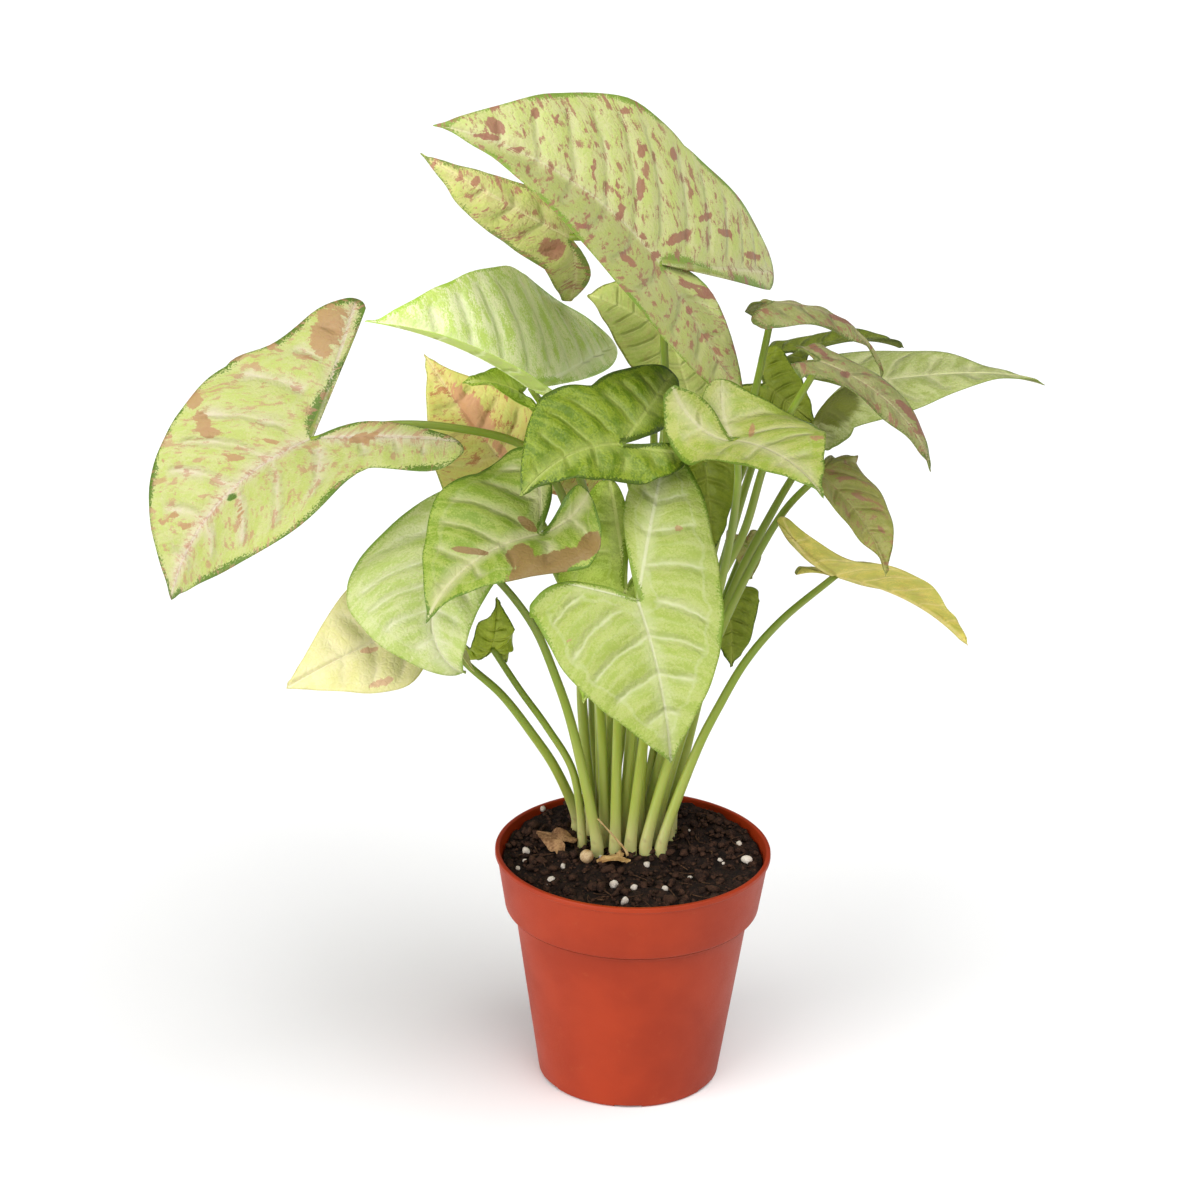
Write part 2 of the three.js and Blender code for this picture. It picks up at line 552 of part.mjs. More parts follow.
function makePot() {
  const profile = [
    [0, 0],
    [BASE_RADIUS - BASE_ROUND, 0],
    [BASE_RADIUS - BASE_ROUND / 3, BASE_ROUND / 3],
    [BASE_RADIUS, BASE_ROUND],
    [WALL_TOP_RADIUS, bandFoot - SHOULDER],
    [WALL_TOP_RADIUS + BAND_ROUND / 2, bandFoot - SHOULDER / 3],
    [BAND_FOOT_RADIUS - BAND_ROUND, bandFoot],
    [BAND_FOOT_RADIUS, bandFoot + BAND_ROUND],
    [RIM_RADIUS - LIP_WIDTH, POT_HEIGHT - LIP_HEIGHT],
    [RIM_RADIUS, POT_HEIGHT - LIP_HEIGHT + LIP_ROUND],
    [RIM_RADIUS, POT_HEIGHT - LIP_ROUND],
    [RIM_RADIUS - LIP_ROUND, POT_HEIGHT],
    [RIM_RADIUS - WALL - LIP_ROUND, POT_HEIGHT],
    [RIM_RADIUS - WALL - LIP_WIDTH, POT_HEIGHT - LIP_HEIGHT],
    ...POT_INSIDE.toReversed(),
    [0, FLOOR],
  ];
  let pot = solidOf(turned(profile));
  for (let i = 0; i < NOTCH_COUNT; i += 1) {
    const notch = new THREE.BoxGeometry(NOTCH_WIDTH, 2 * NOTCH_DEPTH, 2 * NOTCH_HEIGHT);
    notch.translate(0, -BASE_RADIUS, 0);
    notch.rotateZ((2 * Math.PI * i) / NOTCH_COUNT);
    pot = pot.subtract(solidOf(notch));
  }
  return meshOf("pot", geometryOf(pot), "pot");
}

function makeSoil() {
  const profile = [
    [0, FLOOR + GAP],
    ...POT_INSIDE.map(([radius, height]) => [radius - GAP, height + GAP]),
    ...SOIL_RINGS.map((share) => [share * SOIL_EDGE_RADIUS, SOIL_EDGE]),
  ];
  const soil = turned(profile);
  const corners = soil.attributes.position;
  for (let i = 0; i < corners.count; i += 1) {
    if (corners.getZ(i) > SOIL_EDGE - 1) corners.setZ(i, soilHeight(corners.getX(i), corners.getY(i)));
  }
  let solid = solidOf(soil);
  for (const leaf of LEAVES) {
    const [x, y] = leaf.foot;
    const radius = footRadiusOf(leaf) + HOLE_CLEARANCE;
    const hole = new THREE.CylinderGeometry(radius, radius, HOLE_DEPTH + HOLE_HEAD, HOLE_SIDES);
    hole.rotateX(Math.PI / 2).translate(x, y, soilHeight(x, y) + (HOLE_HEAD - HOLE_DEPTH) / 2);
    solid = solid.subtract(solidOf(hole));
  }
  return meshOf("soil", geometryOf(solid), "soil");
}

const plant = new THREE.Group();
plant.add(makePot(), makeSoil(), ...LEAVES.map(makeLeaf));
plant.add(...SCRAPS.map(makeScrap), makeBead(), makeRootBit());

export default plant;
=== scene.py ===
"""Looks of an arrowhead plant in a round nursery pot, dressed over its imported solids.

The plant's front faces -Y, and +Z is up. Sizes are named in millimetres and degrees, as the plant's
maker would measure them, and are turned into metres where a mesh is made.
"""

import logging
import math
from dataclasses import dataclass, field, replace
from enum import Enum, IntEnum
from functools import cache
from typing import Callable, Protocol

import bpy
import numpy as np
from mathutils import Matrix, Vector


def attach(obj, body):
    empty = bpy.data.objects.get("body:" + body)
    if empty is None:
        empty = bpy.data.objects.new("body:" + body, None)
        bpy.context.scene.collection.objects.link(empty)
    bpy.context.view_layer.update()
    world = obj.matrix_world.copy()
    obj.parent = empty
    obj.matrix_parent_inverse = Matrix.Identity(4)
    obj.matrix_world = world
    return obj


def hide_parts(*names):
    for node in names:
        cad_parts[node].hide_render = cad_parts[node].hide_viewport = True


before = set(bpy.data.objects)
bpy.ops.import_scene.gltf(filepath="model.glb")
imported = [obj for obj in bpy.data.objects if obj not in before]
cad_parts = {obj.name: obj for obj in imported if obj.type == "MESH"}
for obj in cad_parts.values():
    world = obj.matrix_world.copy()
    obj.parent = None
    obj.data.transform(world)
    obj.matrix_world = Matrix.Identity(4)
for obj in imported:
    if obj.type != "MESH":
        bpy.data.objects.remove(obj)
LOG = logging.getLogger("arrowhead_plant")
BODY = "root"
METRES = 0.001
FLAT_UNIT = 100.0
FLAT_MAP = "flat"
VEIN_VALUES = "veins"
PLACE_VALUES = "place"
NOISE_TABLE = 64
Pair = tuple[float, float]
Triple = tuple[float, float, float]
Light = tuple[float, float, float, float]
Socket = bpy.types.NodeSocket


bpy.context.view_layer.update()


# ---- numbers

def smooth(low: float, high: float, value: np.ndarray) -> np.ndarray:
    """Ease from 0 at low to 1 at high: t*t*(3 - 2*t), with t held between 0 and 1."""
    t = np.clip((value - low) / (high - low), 0, 1)
    return t * t * (3 - 2 * t)


def bell(value: np.ndarray, reach: float) -> np.ndarray:
    """Fall off from 1 as exp(-(value / reach) squared)."""
    return np.exp(-((value / reach) ** 2))


def unit(vectors: np.ndarray) -> np.ndarray:
    """Scale each vector of the last axis to length 1."""
    return vectors / np.maximum(np.linalg.norm(vectors, axis=-1, keepdims=True), 1e-9)


def even_turns(count: int) -> np.ndarray:
    """Give angles spread evenly round the circle, from 0."""
    return 2 * np.pi * np.arange(count) / count


def turn_gap(angles: np.ndarray, marks: np.ndarray) -> np.ndarray:
    """Give the angle from each of some angles to the nearest mark."""
    return np.abs(np.angle(np.exp(1j * (angles[:, None] - marks)))).min(1)


def cubic(p1: np.ndarray, p2: np.ndarray, v0: np.ndarray, v1: np.ndarray,
          w: np.ndarray) -> np.ndarray:
    """Go a share w of the way from p1 to p2, leaving with slope v0 and arriving with slope v1."""
    return p1 + v0 * w + (3 * (p2 - p1) - 2 * v0 - v1) * w**2 + (2 * (p1 - p2) + v0 + v1) * w**3


def lattice_noise(x: np.ndarray, y: np.ndarray, cell: float, seed: int) -> np.ndarray:
    """Give smooth noise from 0 to 1: random values at the corners of square cells, eased between.

    Args:
        x: First coordinate.
        y: Second coordinate.
        cell: Side of a cell.
        seed: Start of the random values.

    Returns:
        The noise, in the shape of x.
    """
    table = np.random.default_rng(seed).random((NOISE_TABLE, NOISE_TABLE))
    u, v = x / cell, y / cell
    i, j = np.floor(u).astype(int), np.floor(v).astype(int)
    s, t = smooth(0, 1, u - i), smooth(0, 1, v - j)
    a = table[i % NOISE_TABLE, j % NOISE_TABLE]
    b = table[(i + 1) % NOISE_TABLE, j % NOISE_TABLE]
    c = table[i % NOISE_TABLE, (j + 1) % NOISE_TABLE]
    d = table[(i + 1) % NOISE_TABLE, (j + 1) % NOISE_TABLE]
    return (a * (1 - s) + b * s) * (1 - t) + (c * (1 - s) + d * s) * t


def linear(colour: Triple) -> Light:
    """Turn a colour in display values from 0 to 255 into the shader's light values.

    With c = value / 255, light is c / 12.92 up to 0.04045 and ((c + 0.055) / 1.055)^2.4 above it.

    Args:
        colour: Red, green and blue display values.

    Returns:
        Red, green and blue light, and a full alpha.
    """
    share = np.array(colour, float) / 255
    light = np.where(share <= 0.04045, share / 12.92, ((share + 0.055) / 1.055) ** 2.4)
    return (*light.tolist(), 1.0)


# ---- meshes

class Finish(Protocol):
    """What a piece asks of each of its finishes."""

    def material(self) -> bpy.types.Material:
        """Build the finish's material."""


@cache
def material_of(finish: Finish) -> bpy.types.Material:
    """Give a finish's material, which all pieces of that finish share."""
    return finish.material()


@dataclass
class Surface:
    """Points and quads of one mesh part, with what its finish reads.

    The points are in millimetres. A quad whose last two corners are the same is a triangle.
    """

    points: np.ndarray
    quads: np.ndarray
    material: int = 0
    flat: np.ndarray | None = None
    veins: np.ndarray | None = None
    place: np.ndarray | None = None


def grid_quads(rows: int, columns: int, start: int, wrap: bool) -> np.ndarray:
    """Join a grid of points to quads, in index order row by row.

    Args:
        rows: Number of rows.
        columns: Number of points in a row.
        start: Index of the first point.
        wrap: Whether the last column joins the first.

    Returns:
        An array of four corners a quad.
    """
    across = np.arange(columns if wrap else columns - 1)
    row = np.arange(rows - 1)[:, None] * columns + start
    a, b = row + across, row + (across + 1) % columns
    return np.stack([a, b, b + columns, a + columns], -1).reshape(-1, 4)


def fan(centre: int, ring: np.ndarray) -> np.ndarray:
    """Join a ring of points to one centre point, as triangles stored in quads."""
    after = np.roll(ring, -1)
    return np.stack([np.full_like(ring, centre), ring, after, after], -1)


def close_rings(rings: np.ndarray, start: np.ndarray, stop: np.ndarray,
                turned: bool = False) -> tuple[np.ndarray, np.ndarray]:
    """Join rings of points to a tube, and close each end with a fan.

    Args:
        rings: The points, as rows of rings.
        start: Middle of the first ring.
        stop: Middle of the last ring.
        turned: Whether the faces look the other way.

    Returns:
        The points with the two middles behind them, and the quads.
    """
    rows, sides = rings.shape[:2]
    count = rows * sides
    quads = grid_quads(rows, sides, 0, True)
    first, last = np.arange(sides)[::-1], np.arange(sides) + count - sides
    if turned:
        quads, first, last = quads[:, ::-1], first[::-1], last[::-1]
    points = np.concatenate([rings.reshape(-1, 3), [start, stop]])
    return points, np.concatenate([quads, fan(count, first), fan(count + 1, last)])


def add_object(name: str, data: bpy.types.ID) -> bpy.types.Object:
    """Make an object and link it to the scene.

    Args:
        name: Name of the object.
        data: Its mesh, light or camera.

    Returns:
        The object.
    """
    made = bpy.data.objects.new(name, data)
    bpy.context.scene.collection.objects.link(made)
    return made


def build_piece(name: str, surfaces: list[Surface], finishes: list[Finish],
                stands_for: tuple[str, ...] = (), sharp: float | None = None) -> None:
    """Make one object of mesh parts, dress it and let it ride on the plant's body.

    Args:
        name: Name of the piece.
        surfaces: The mesh parts.
        finishes: The finishes, in the order of the parts' material numbers.
        stands_for: Nodes of the solids that the piece stands for.
        sharp: Angle in degrees over which an edge stays sharp, or None for a smooth piece.
    """
    counts = np.cumsum([0] + [len(s.points) for s in surfaces])
    points = np.concatenate([s.points for s in surfaces]) * METRES
    quads = np.concatenate([s.quads + counts[i] for i, s in enumerate(surfaces)])
    numbers = np.concatenate([np.full(len(s.quads), s.material) for s in surfaces])
    triangle = quads[:, 2] == quads[:, 3]
    corners = np.where(triangle, 3, 4)
    keep = np.ones(quads.shape, bool)
    keep[triangle, 3] = False
    mesh = bpy.data.meshes.new(name)
    mesh.vertices.add(len(points))
    mesh.vertices.foreach_set("co", points.astype(np.float32).ravel())
    mesh.loops.add(int(corners.sum()))
    mesh.loops.foreach_set("vertex_index", quads[keep].astype(np.int32))
    mesh.polygons.add(len(quads))
    mesh.polygons.foreach_set("loop_start", (np.cumsum(corners) - corners).astype(np.int32))
    mesh.polygons.foreach_set("material_index", numbers.astype(np.int32))
    mesh.update(calc_edges=True)
    store_attributes(mesh, surfaces, quads[keep])
    mesh.shade_smooth()
    if sharp is not None:
        mesh.set_sharp_from_angle(angle=math.radians(sharp))
    for finish in finishes:
        mesh.materials.append(material_of(finish))
    piece = add_object(name, mesh)
    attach(piece, BODY)
    if stands_for:
        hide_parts(*stands_for)
    LOG.info("%s: %d faces", name, len(quads))


def store_attributes(mesh: bpy.types.Mesh, surfaces: list[Surface], corners: np.ndarray) -> None:
    """Store what the finishes read: the flat map, and the vein and place values of each point.

    Args:
        mesh: The mesh.
        surfaces: The mesh parts, in the mesh's order.
        corners: The point of each face corner.
    """
    def gathered(which: str, width: int) -> np.ndarray:
        """Join one value of all parts, with zeros where a part has none."""
        rows = [getattr(s, which) for s in surfaces]
        return np.concatenate([np.zeros((len(s.points), width)) if r is None else r
                               for s, r in zip(surfaces, rows)]).astype(np.float32)

    if surfaces[0].flat is not None:
        flat_map = mesh.uv_layers.new(name=FLAT_MAP)
        flat_map.data.foreach_set("uv", gathered("flat", 2)[corners].ravel())
    for name, which in ((VEIN_VALUES, "veins"), (PLACE_VALUES, "place")):
        if getattr(surfaces[0], which) is not None:
            layer = mesh.attributes.new(name, "FLOAT_VECTOR", "POINT")
            layer.data.foreach_set("vector", gathered(which, 3).ravel())


# ---- view

@dataclass(frozen=True)
class FrontView:
    """The front view: a camera of 1200 x 1200 pixels that looks down at the plant from -Y.

    focal and side are in pixels, sensor is the film's width, and clip is in metres.
    """

    distance: float = 1500.0
    focal: float = 3928.0
    side: float = 1200.0
    lift: float = 21.83
    roll: float = 1.07
    aim: Triple = (-14.7, 0.0, 200.2)
    sensor: float = 36.0
    clip: Pair = (0.05, 50.0)

    def axes(self) -> tuple[np.ndarray, np.ndarray, np.ndarray]:
        """Work out the camera's own directions: level, tilted by lift and turned by roll.

        Returns:
            The right, the up and the backward direction.
        """
        lift, roll = math.radians(self.lift), math.radians(self.roll)
        back = np.array([0, -math.cos(lift), math.sin(lift)])
        level, upright = np.array([1.0, 0, 0]), np.array([0, math.sin(lift), math.cos(lift)])
        right = math.cos(roll) * level + math.sin(roll) * upright
        up = math.cos(roll) * upright - math.sin(roll) * level
        return right, up, back

    def eye(self) -> np.ndarray:
        """Give the camera's place."""
        return np.array(self.aim) + self.axes()[2] * self.distance

    def project(self, points: np.ndarray) -> np.ndarray:
        """Find the pixel of each point: half the side plus focal * (right, -up) / depth.

        Args:
            points: The points in millimetres.

        Returns:
            The pixels from the left and from the top.
        """
        right, up, back = self.axes()
        offset = points - self.eye()
        scale = self.focal / -(offset @ back)
        middle = self.side / 2
        return np.stack([middle + scale * (offset @ right), middle - scale * (offset @ up)], -1)

    def seat(self, px: float, py: float, height: Callable[[float, float], float],
             level: float = 90.0, steps: int = 8) -> np.ndarray:
        """Find the point of a ground surface that a pixel shows, by steps from a level guess.

        Args:
            px: Pixel from the left.
            py: Pixel from the top.
            height: The ground's height over x and y.
            level: First guess of the height.
            steps: Number of steps.

        Returns:
            The point in millimetres.
        """
        right, up, back = self.axes()
        eye, middle = self.eye(), self.side / 2
        ray = right * (px - middle) - up * (py - middle) - back * self.focal
        for _ in range(steps):
            spot = eye + ray * (level - eye[2]) / ray[2]
            level = float(height(spot[0], spot[1]))
        return spot

    def make_camera(self) -> None:
        """Make the camera and set it as the scene's own."""
        eye = self.eye() * METRES
        data = bpy.data.cameras.new("front_view")
        data.sensor_width = self.sensor
        data.lens = self.focal / self.side * self.sensor
        data.clip_start, data.clip_end = self.clip
        camera = add_object("front_view", data)
        columns = zip(*self.axes(), eye)
        camera.matrix_world = Matrix([list(row) for row in columns] + [[0, 0, 0, 1]])
        bpy.context.scene.camera = camera


VIEW = FrontView()


# ---- finishes

class Graph:
    """A material under construction, with short calls for its usual nodes.

    A value is a number, a colour or another node's socket.
    """

    def __init__(self, name: str) -> None:
        """Start a material with one Principled shader."""
        self.material = bpy.data.materials.new(name)
        self.material.use_nodes = True
        self.tree = self.material.node_tree
        self.tree.nodes.clear()
        self.shader = self.node("BsdfPrincipled", {})
        self.node("OutputMaterial", {"Surface": self.shader.outputs[0]})

    def put(self, socket: Socket, value: object) -> None:
        """Link a socket, or set its value."""
        if isinstance(value, bpy.types.NodeSocket):
            self.tree.links.new(value, socket)
        else:
            socket.default_value = value

    def node(self, kind: str, inputs: dict[str | int, object],
             **settings: object) -> bpy.types.Node:
        """Add one node.

        Args:
            kind: The node's kind.
            inputs: Values of its inputs, by name or number.
            settings: Values of its own settings.

        Returns:
            The node.
        """
        node = self.tree.nodes.new("ShaderNode" + kind)
        for name, setting in settings.items():
            setattr(node, name, setting)
        for key, value in inputs.items():
            self.put(node.inputs[key], value)
        return node

    def math(self, operation: str, a: object, b: object = 0.0) -> Socket:
        """Work out one formula on numbers."""
        return self.node("Math", {0: a, 1: b}, operation=operation).outputs[0]

    def plus(self, a: object, b: object) -> Socket:
        """Add two numbers."""
        return self.math("ADD", a, b)

    def minus(self, a: object, b: object) -> Socket:
        """Subtract the second number from the first."""
        return self.math("SUBTRACT", a, b)

    def times(self, a: object, b: object) -> Socket:
        """Multiply two numbers."""
        return self.math("MULTIPLY", a, b)

    def most(self, a: object, b: object) -> Socket:
        """Give the larger of two numbers."""
        return self.math("MAXIMUM", a, b)

    def ease(self, value: object, low: float, high: float, start: float = 0.0,
             end: float = 1.0) -> Socket:
        """Ease from start, where the value is low, to end, where it is high."""
        inputs = {"Value": value, "From Min": low, "From Max": high, "To Min": start, "To Max": end}
        return self.node("MapRange", inputs, interpolation_type="SMOOTHSTEP").outputs["Result"]

    def mix(self, share: object, a: object, b: object) -> Socket:
        """Mix two colours: the node's colour sockets are its inputs 6 and 7 and its output 2."""
        node = self.node("Mix", {0: share, 6: a, 7: b}, data_type="RGBA", clamp_factor=True)
        return node.outputs[2]

    def noise(self, place: object, scale: float, detail: float = 2.0,
              roughness: float = 0.5) -> Socket:
        """Give smooth noise around one half."""
        inputs = {"Vector": place, "Scale": scale, "Detail": detail, "Roughness": roughness}
        return self.node("TexNoise", inputs).outputs["Fac"]

    def net(self, place: object, scale: float) -> Socket:
        """Give the distance to the edges of a pattern of cells."""
        inputs = {"Vector": place, "Scale": scale}
        return self.node("TexVoronoi", inputs, feature="DISTANCE_TO_EDGE").outputs["Distance"]

    def object_place(self) -> Socket:
        """Give the place in the object's own frame."""
        return self.node("TexCoord", {}).outputs["Object"]

    def split(self, vector: Socket) -> list[Socket]:
        """Take a vector apart into its three numbers."""
        return list(self.node("SeparateXYZ", {0: vector}).outputs)

    def values(self, name: str) -> list[Socket]:
        """Read a stored vector as its three numbers."""
        return self.split(self.node("Attribute", {}, attribute_name=name).outputs["Vector"])

    def flat_place(self) -> list[Socket]:
        """Read the flat map as its two numbers."""
        return self.split(self.node("UVMap", {}, uv_map=FLAT_MAP).outputs[0])[:2]

    def vector(self, x: object, y: object) -> Socket:
        """Join two numbers to a vector."""
        return self.node("CombineXYZ", {0: x, 1: y}).outputs[0]

    def bump(self, height: Socket, millimetres: float, strength: float = 1.0) -> None:
        """Give the shader a relief of that height."""
        inputs = {"Strength": strength, "Distance": millimetres * METRES, "Height": height}
        self.put(self.shader.inputs["Normal"], self.node("Bump", inputs).outputs[0])

    def finish(self, colour: object, roughness: object, **fixed: object) -> bpy.types.Material:
        """Set the shader's sockets and give the material.

        Args:
            colour: The base colour.
            roughness: The roughness.
            fixed: Values of other sockets, with _ for each space of the name.

        Returns:
            The material.
        """
        self.put(self.shader.inputs["Base Color"], colour)
        self.put(self.shader.inputs["Roughness"], roughness)
        for name, value in fixed.items():
            self.shader.inputs[name.replace("_", " ")].default_value = value
        return self.material


@dataclass(frozen=True)
class LeafFinish:
    """How a blade is coloured.

    Colours are display values as they show in full studio light, and gain turns them into the
    skin's own. ground and second are the skin between the veins, under the underside, fleck, spot
    and dark the patches. halo, lines, streaks, flecks, blush and lean are shares of how strongly
    the vein halos, vein lines, streaks, flecks, pink ribs and the left half's darkening show. That
    darkening leans the left half toward the under colour and is partly painted shade, partly the
    half's duller colour. band is the width of the green margin in millimetres and edging adds to
    its density. furrow is the depth of the creases on the veins, and ragged the roughness of the
    spots' outlines.
    """

    name: str
    slot: str
    ground: Triple
    second: Triple
    vein: Triple
    margin: Triple
    under: Triple
    fleck: Triple = (162, 114, 90)
    spot: Triple = (162, 112, 90)
    dark: Triple = (84, 128, 36)
    gain: float = 0.6
    halo: float = 0.5
    lines: float = 0.5
    streaks: float = 0.6
    band: float = 3.0
    edging: float = 0.0
    flecks: float = 0.0
    blush: float = 0.0
    lean: float = 0.0
    furrow: float = 2.4
    ragged: float = 2.2

    def skin(self, shown: Triple) -> Light:
        """Turn a shown colour into the skin's own light values."""
        red, green, blue, _ = linear(shown)
        return red * self.gain, green * self.gain, blue * self.gain, 1.0

    def material(self) -> bpy.types.Material:
        """Build the blade's material."""
        return BladeGraph(self).build()


@dataclass(frozen=True)
class BladeScales:
    """How often each pattern of a blade repeats over the flat map's unit."""

    cloud: float = 8.0
    grain: float = 130.0
    wobble: float = 11.0
    streak: float = 9.0
    spatter: float = 240.0
    collecting_vein: float = 9.0
    blush: float = 22.0
    green: float = 4.5
    large_fleck: float = 38.0
    small_fleck: float = 110.0
    crowd: float = 15.0
    net: float = 42.0


class BladeGraph(Graph):
    """A blade's material, with the stored values and the patterns that its steps share.

    The stored vein values are the vein phase, whole numbers of which lie on the side veins, the
    distance to the nearest rib and the distance to the margin. The stored place values are 1 on the
    underside, and the fields of the pale and of the dark spots.
    """

    def __init__(self, leaf: LeafFinish) -> None:
        """Read the stored values and lay out the shared patterns."""
        super().__init__(leaf.name)
        self.leaf = leaf
        self.scales = BladeScales()
        phase, rib, self.edge = self.values(VEIN_VALUES)
        self.under, self.pale_field, self.dark_field = self.values(PLACE_VALUES)
        self.u, v = self.flat_place()
        self.flat = self.vector(self.u, v)
        self.cloud = self.noise(self.flat, self.scales.cloud, 3.0)
        self.grain = self.noise(self.flat, self.scales.grain, 3.0, 0.7)
        wobble = self.ease(self.noise(self.flat, self.scales.wobble), 0.3, 0.7, -0.04, 0.04)
        self.phase = self.plus(phase, wobble)
        self.beside = self.times(self.math("PINGPONG", self.phase, 0.5), 2.0)
        self.along = self.vector(self.times(self.phase, 0.35), self.times(self.u, 1.1))
        streak = self.noise(self.along, self.scales.streak, 4.0, 0.65)
        self.mottle = self.plus(self.times(streak, 0.6), self.times(self.grain, 0.4))
        self.inside = self.ease(self.edge, leaf.band, leaf.band + 4.0)
        self.line = self.ease(self.beside, 0.0, 0.16, 1.0, 0.0)
        self.ribs = self.ease(rib, 0.3, 1.0, 1.0, 0.0)
        self.near_rib = self.times(self.ease(rib, 0.4, 6.0, 1.0, 0.0),
                                   self.ease(self.edge, 0.0, leaf.band + 2.0, 0.3, 1.0))
        self.green = self.green_margin()
        jitter = self.times(self.grain, 0.02)
        self.bent = self.vector(self.plus(self.times(self.phase, 0.13), jitter),
                                self.plus(self.times(self.u, 0.42), jitter))
        self.ragged = self.noise(self.bent, self.scales.large_fleck, 4.0, 0.6)
        self.flecks = self.fleck_marks() if leaf.flecks else 0.0

    def lay(self, colour: Socket, shown: Triple, share: object) -> Socket:
        """Lay a shown colour over another by a share."""
        return self.mix(share, colour, self.leaf.skin(shown))

    def green_margin(self) -> Socket:
        """Give the share of green along the margin: grain that thickens toward it, in stretches."""
        stretch = self.ease(self.noise(self.flat, self.scales.green), 0.4, 0.6, -0.22, 0.03)
        reach = self.ease(self.edge, 0.0, self.leaf.band, 0.3 + self.leaf.edging, -0.12)
        return self.ease(self.plus(self.grain, self.plus(reach, stretch)), 0.6, 0.68, 0.0, 0.9)

    def fleck_marks(self) -> Socket:
        """Give the share of flecks: large and small noise over a threshold, denser in crowds."""
        crowd = self.ease(self.noise(self.flat, self.scales.crowd), 0.38, 0.62, -0.1, 0.035)
        large = self.ease(self.plus(self.ragged, crowd), 0.57, 0.58)
        small = self.plus(self.noise(self.bent, self.scales.small_fleck), crowd)
        small = self.ease(small, 0.58, 0.6, 0.0, 0.75)
        return self.times(self.most(large, small), self.leaf.flecks)

    def ground(self) -> Socket:
        """Mix the skin between the veins: streaks, fine spatter and the pale halos of the veins."""
        leaf = self.leaf
        share = self.times(self.ease(self.mottle, 0.44, 0.56), leaf.streaks)
        colour = self.mix(share, leaf.skin(leaf.ground), leaf.skin(leaf.second))
        spatter = self.noise(self.flat, self.scales.spatter, 2.0, 0.7)
        colour = self.lay(colour, leaf.second, self.ease(spatter, 0.5, 0.62, 0.0, 0.4))
        halo = self.times(self.ease(self.beside, 0.0, 0.62, 1.0, 0.0),
                          self.ease(self.cloud, 0.35, 0.65, 0.35, 1.0))
        pale = self.most(self.times(halo, self.inside), self.near_rib)
        return self.lay(colour, leaf.vein, self.times(pale, leaf.halo))

    def veined(self, colour: Socket) -> Socket:
        """Draw the side veins, faint ones between them, the collecting vein and the ribs."""
        leaf = self.leaf
        between = self.ease(self.beside, 0.84, 1.0, 0.0, 0.2)
        drawn = self.times(self.most(self.line, between), self.inside)
        swing = self.ease(self.noise(self.flat, self.scales.collecting_vein), 0.3, 0.7,
                          leaf.band + 0.8, leaf.band + 3.4)
        gap = self.math("ABSOLUTE", self.minus(self.edge, swing))
        drawn = self.most(drawn, self.ease(gap, 0.2, 1.1, 0.4, 0.0))
        drawn = self.times(drawn, self.ease(self.cloud, 0.3, 0.7, 0.55, 1.0))
        colour = self.lay(colour, leaf.vein, self.times(drawn, leaf.lines))
        return self.lay(colour, leaf.vein, self.times(self.ribs, min(1.0, 0.35 + leaf.lines)))

    def washed(self, colour: Socket) -> Socket:
        """Darken the left half toward the under colour, partly as painted shade, and tint the ribs
        pink, where the finish has it.
        """
        leaf = self.leaf
        # painted shade, partly the half's duller colour: the left half leans toward the under
        # colour
        if leaf.lean:
            colour = self.lay(colour, leaf.under, self.ease(self.u, -0.03, 0.0, leaf.lean, 0.0))
        if leaf.blush:
            pink = self.ease(self.noise(self.along, self.scales.blush, 4.0, 0.7), 0.52, 0.6)
            pink = self.times(self.times(pink, self.near_rib), leaf.blush)
            colour = self.lay(colour, leaf.fleck, pink)
        return colour

    def marked(self, colour: Socket) -> Socket:
        """Lay the green margin, the flecks and the ragged spots."""
        leaf = self.leaf
        colour = self.lay(colour, leaf.margin, self.green)
        colour = self.lay(colour, leaf.margin, self.ease(self.edge, 0.1, 0.6, 0.4, 0.0))
        if leaf.flecks:
            colour = self.lay(colour, leaf.fleck, self.flecks)
        # On the long leaf the dark patch paints the drooping lobe's underside together with painted
        # shade.
        for place, shown, rough_by, soft in ((self.pale_field, leaf.spot, leaf.ragged, 0.05),
                                             (self.dark_field, leaf.dark, 0.9, 0.3)):
            rough = self.plus(place, self.times(self.minus(self.ragged, 0.5), rough_by))
            colour = self.lay(colour, shown, self.ease(rough, -0.02, soft, 0.0, 0.92))
        return colour

    def underside(self) -> Socket:
        """Mix the duller underside, on which veins, margin and flecks show faintly."""
        leaf = self.leaf
        clouded = self.most(self.ease(self.cloud, 0.42, 0.62), self.ease(self.mottle, 0.42, 0.58))
        colour = self.mix(self.times(clouded, 0.6), leaf.skin(leaf.under), leaf.skin(leaf.second))
        colour = self.lay(colour, leaf.vein, self.times(self.most(self.line, self.ribs), 0.5))
        colour = self.lay(colour, leaf.margin, self.times(self.green, 0.6))
        if leaf.flecks:
            colour = self.lay(colour, leaf.fleck, self.times(self.flecks, 0.45))
        return colour

    def relief(self) -> None:
        """Raise the fine net and the mottling, and sink the veins' furrows and the ribs."""
        raised = self.plus(self.ease(self.net(self.flat, self.scales.net), 0.0, 0.25, 0.0, 0.25),
                           self.times(self.mottle, 0.5))
        furrow = self.times(self.ease(self.beside, 0.0, 0.45, self.leaf.furrow, 0.0), self.inside)
        sunk = self.most(furrow, self.times(self.ribs, 0.4))
        self.bump(self.minus(raised, sunk), 0.4, 0.9)

    def build(self) -> bpy.types.Material:
        """Put the steps together to the blade's material.

        Returns:
            The material.
        """
        upper = self.marked(self.washed(self.veined(self.ground())))
        colour = self.mix(self.under, upper, self.underside())
        self.relief()
        rough = self.ease(self.plus(self.cloud, self.times(self.under, 0.3)), 0.3, 1.0, 0.42, 0.68)
        return self.finish(colour, rough, Specular_IOR_Level=0.28, Subsurface_Weight=0.12,
                           Subsurface_Scale=0.0015, Subsurface_Radius=(0.6, 1.0, 0.3))


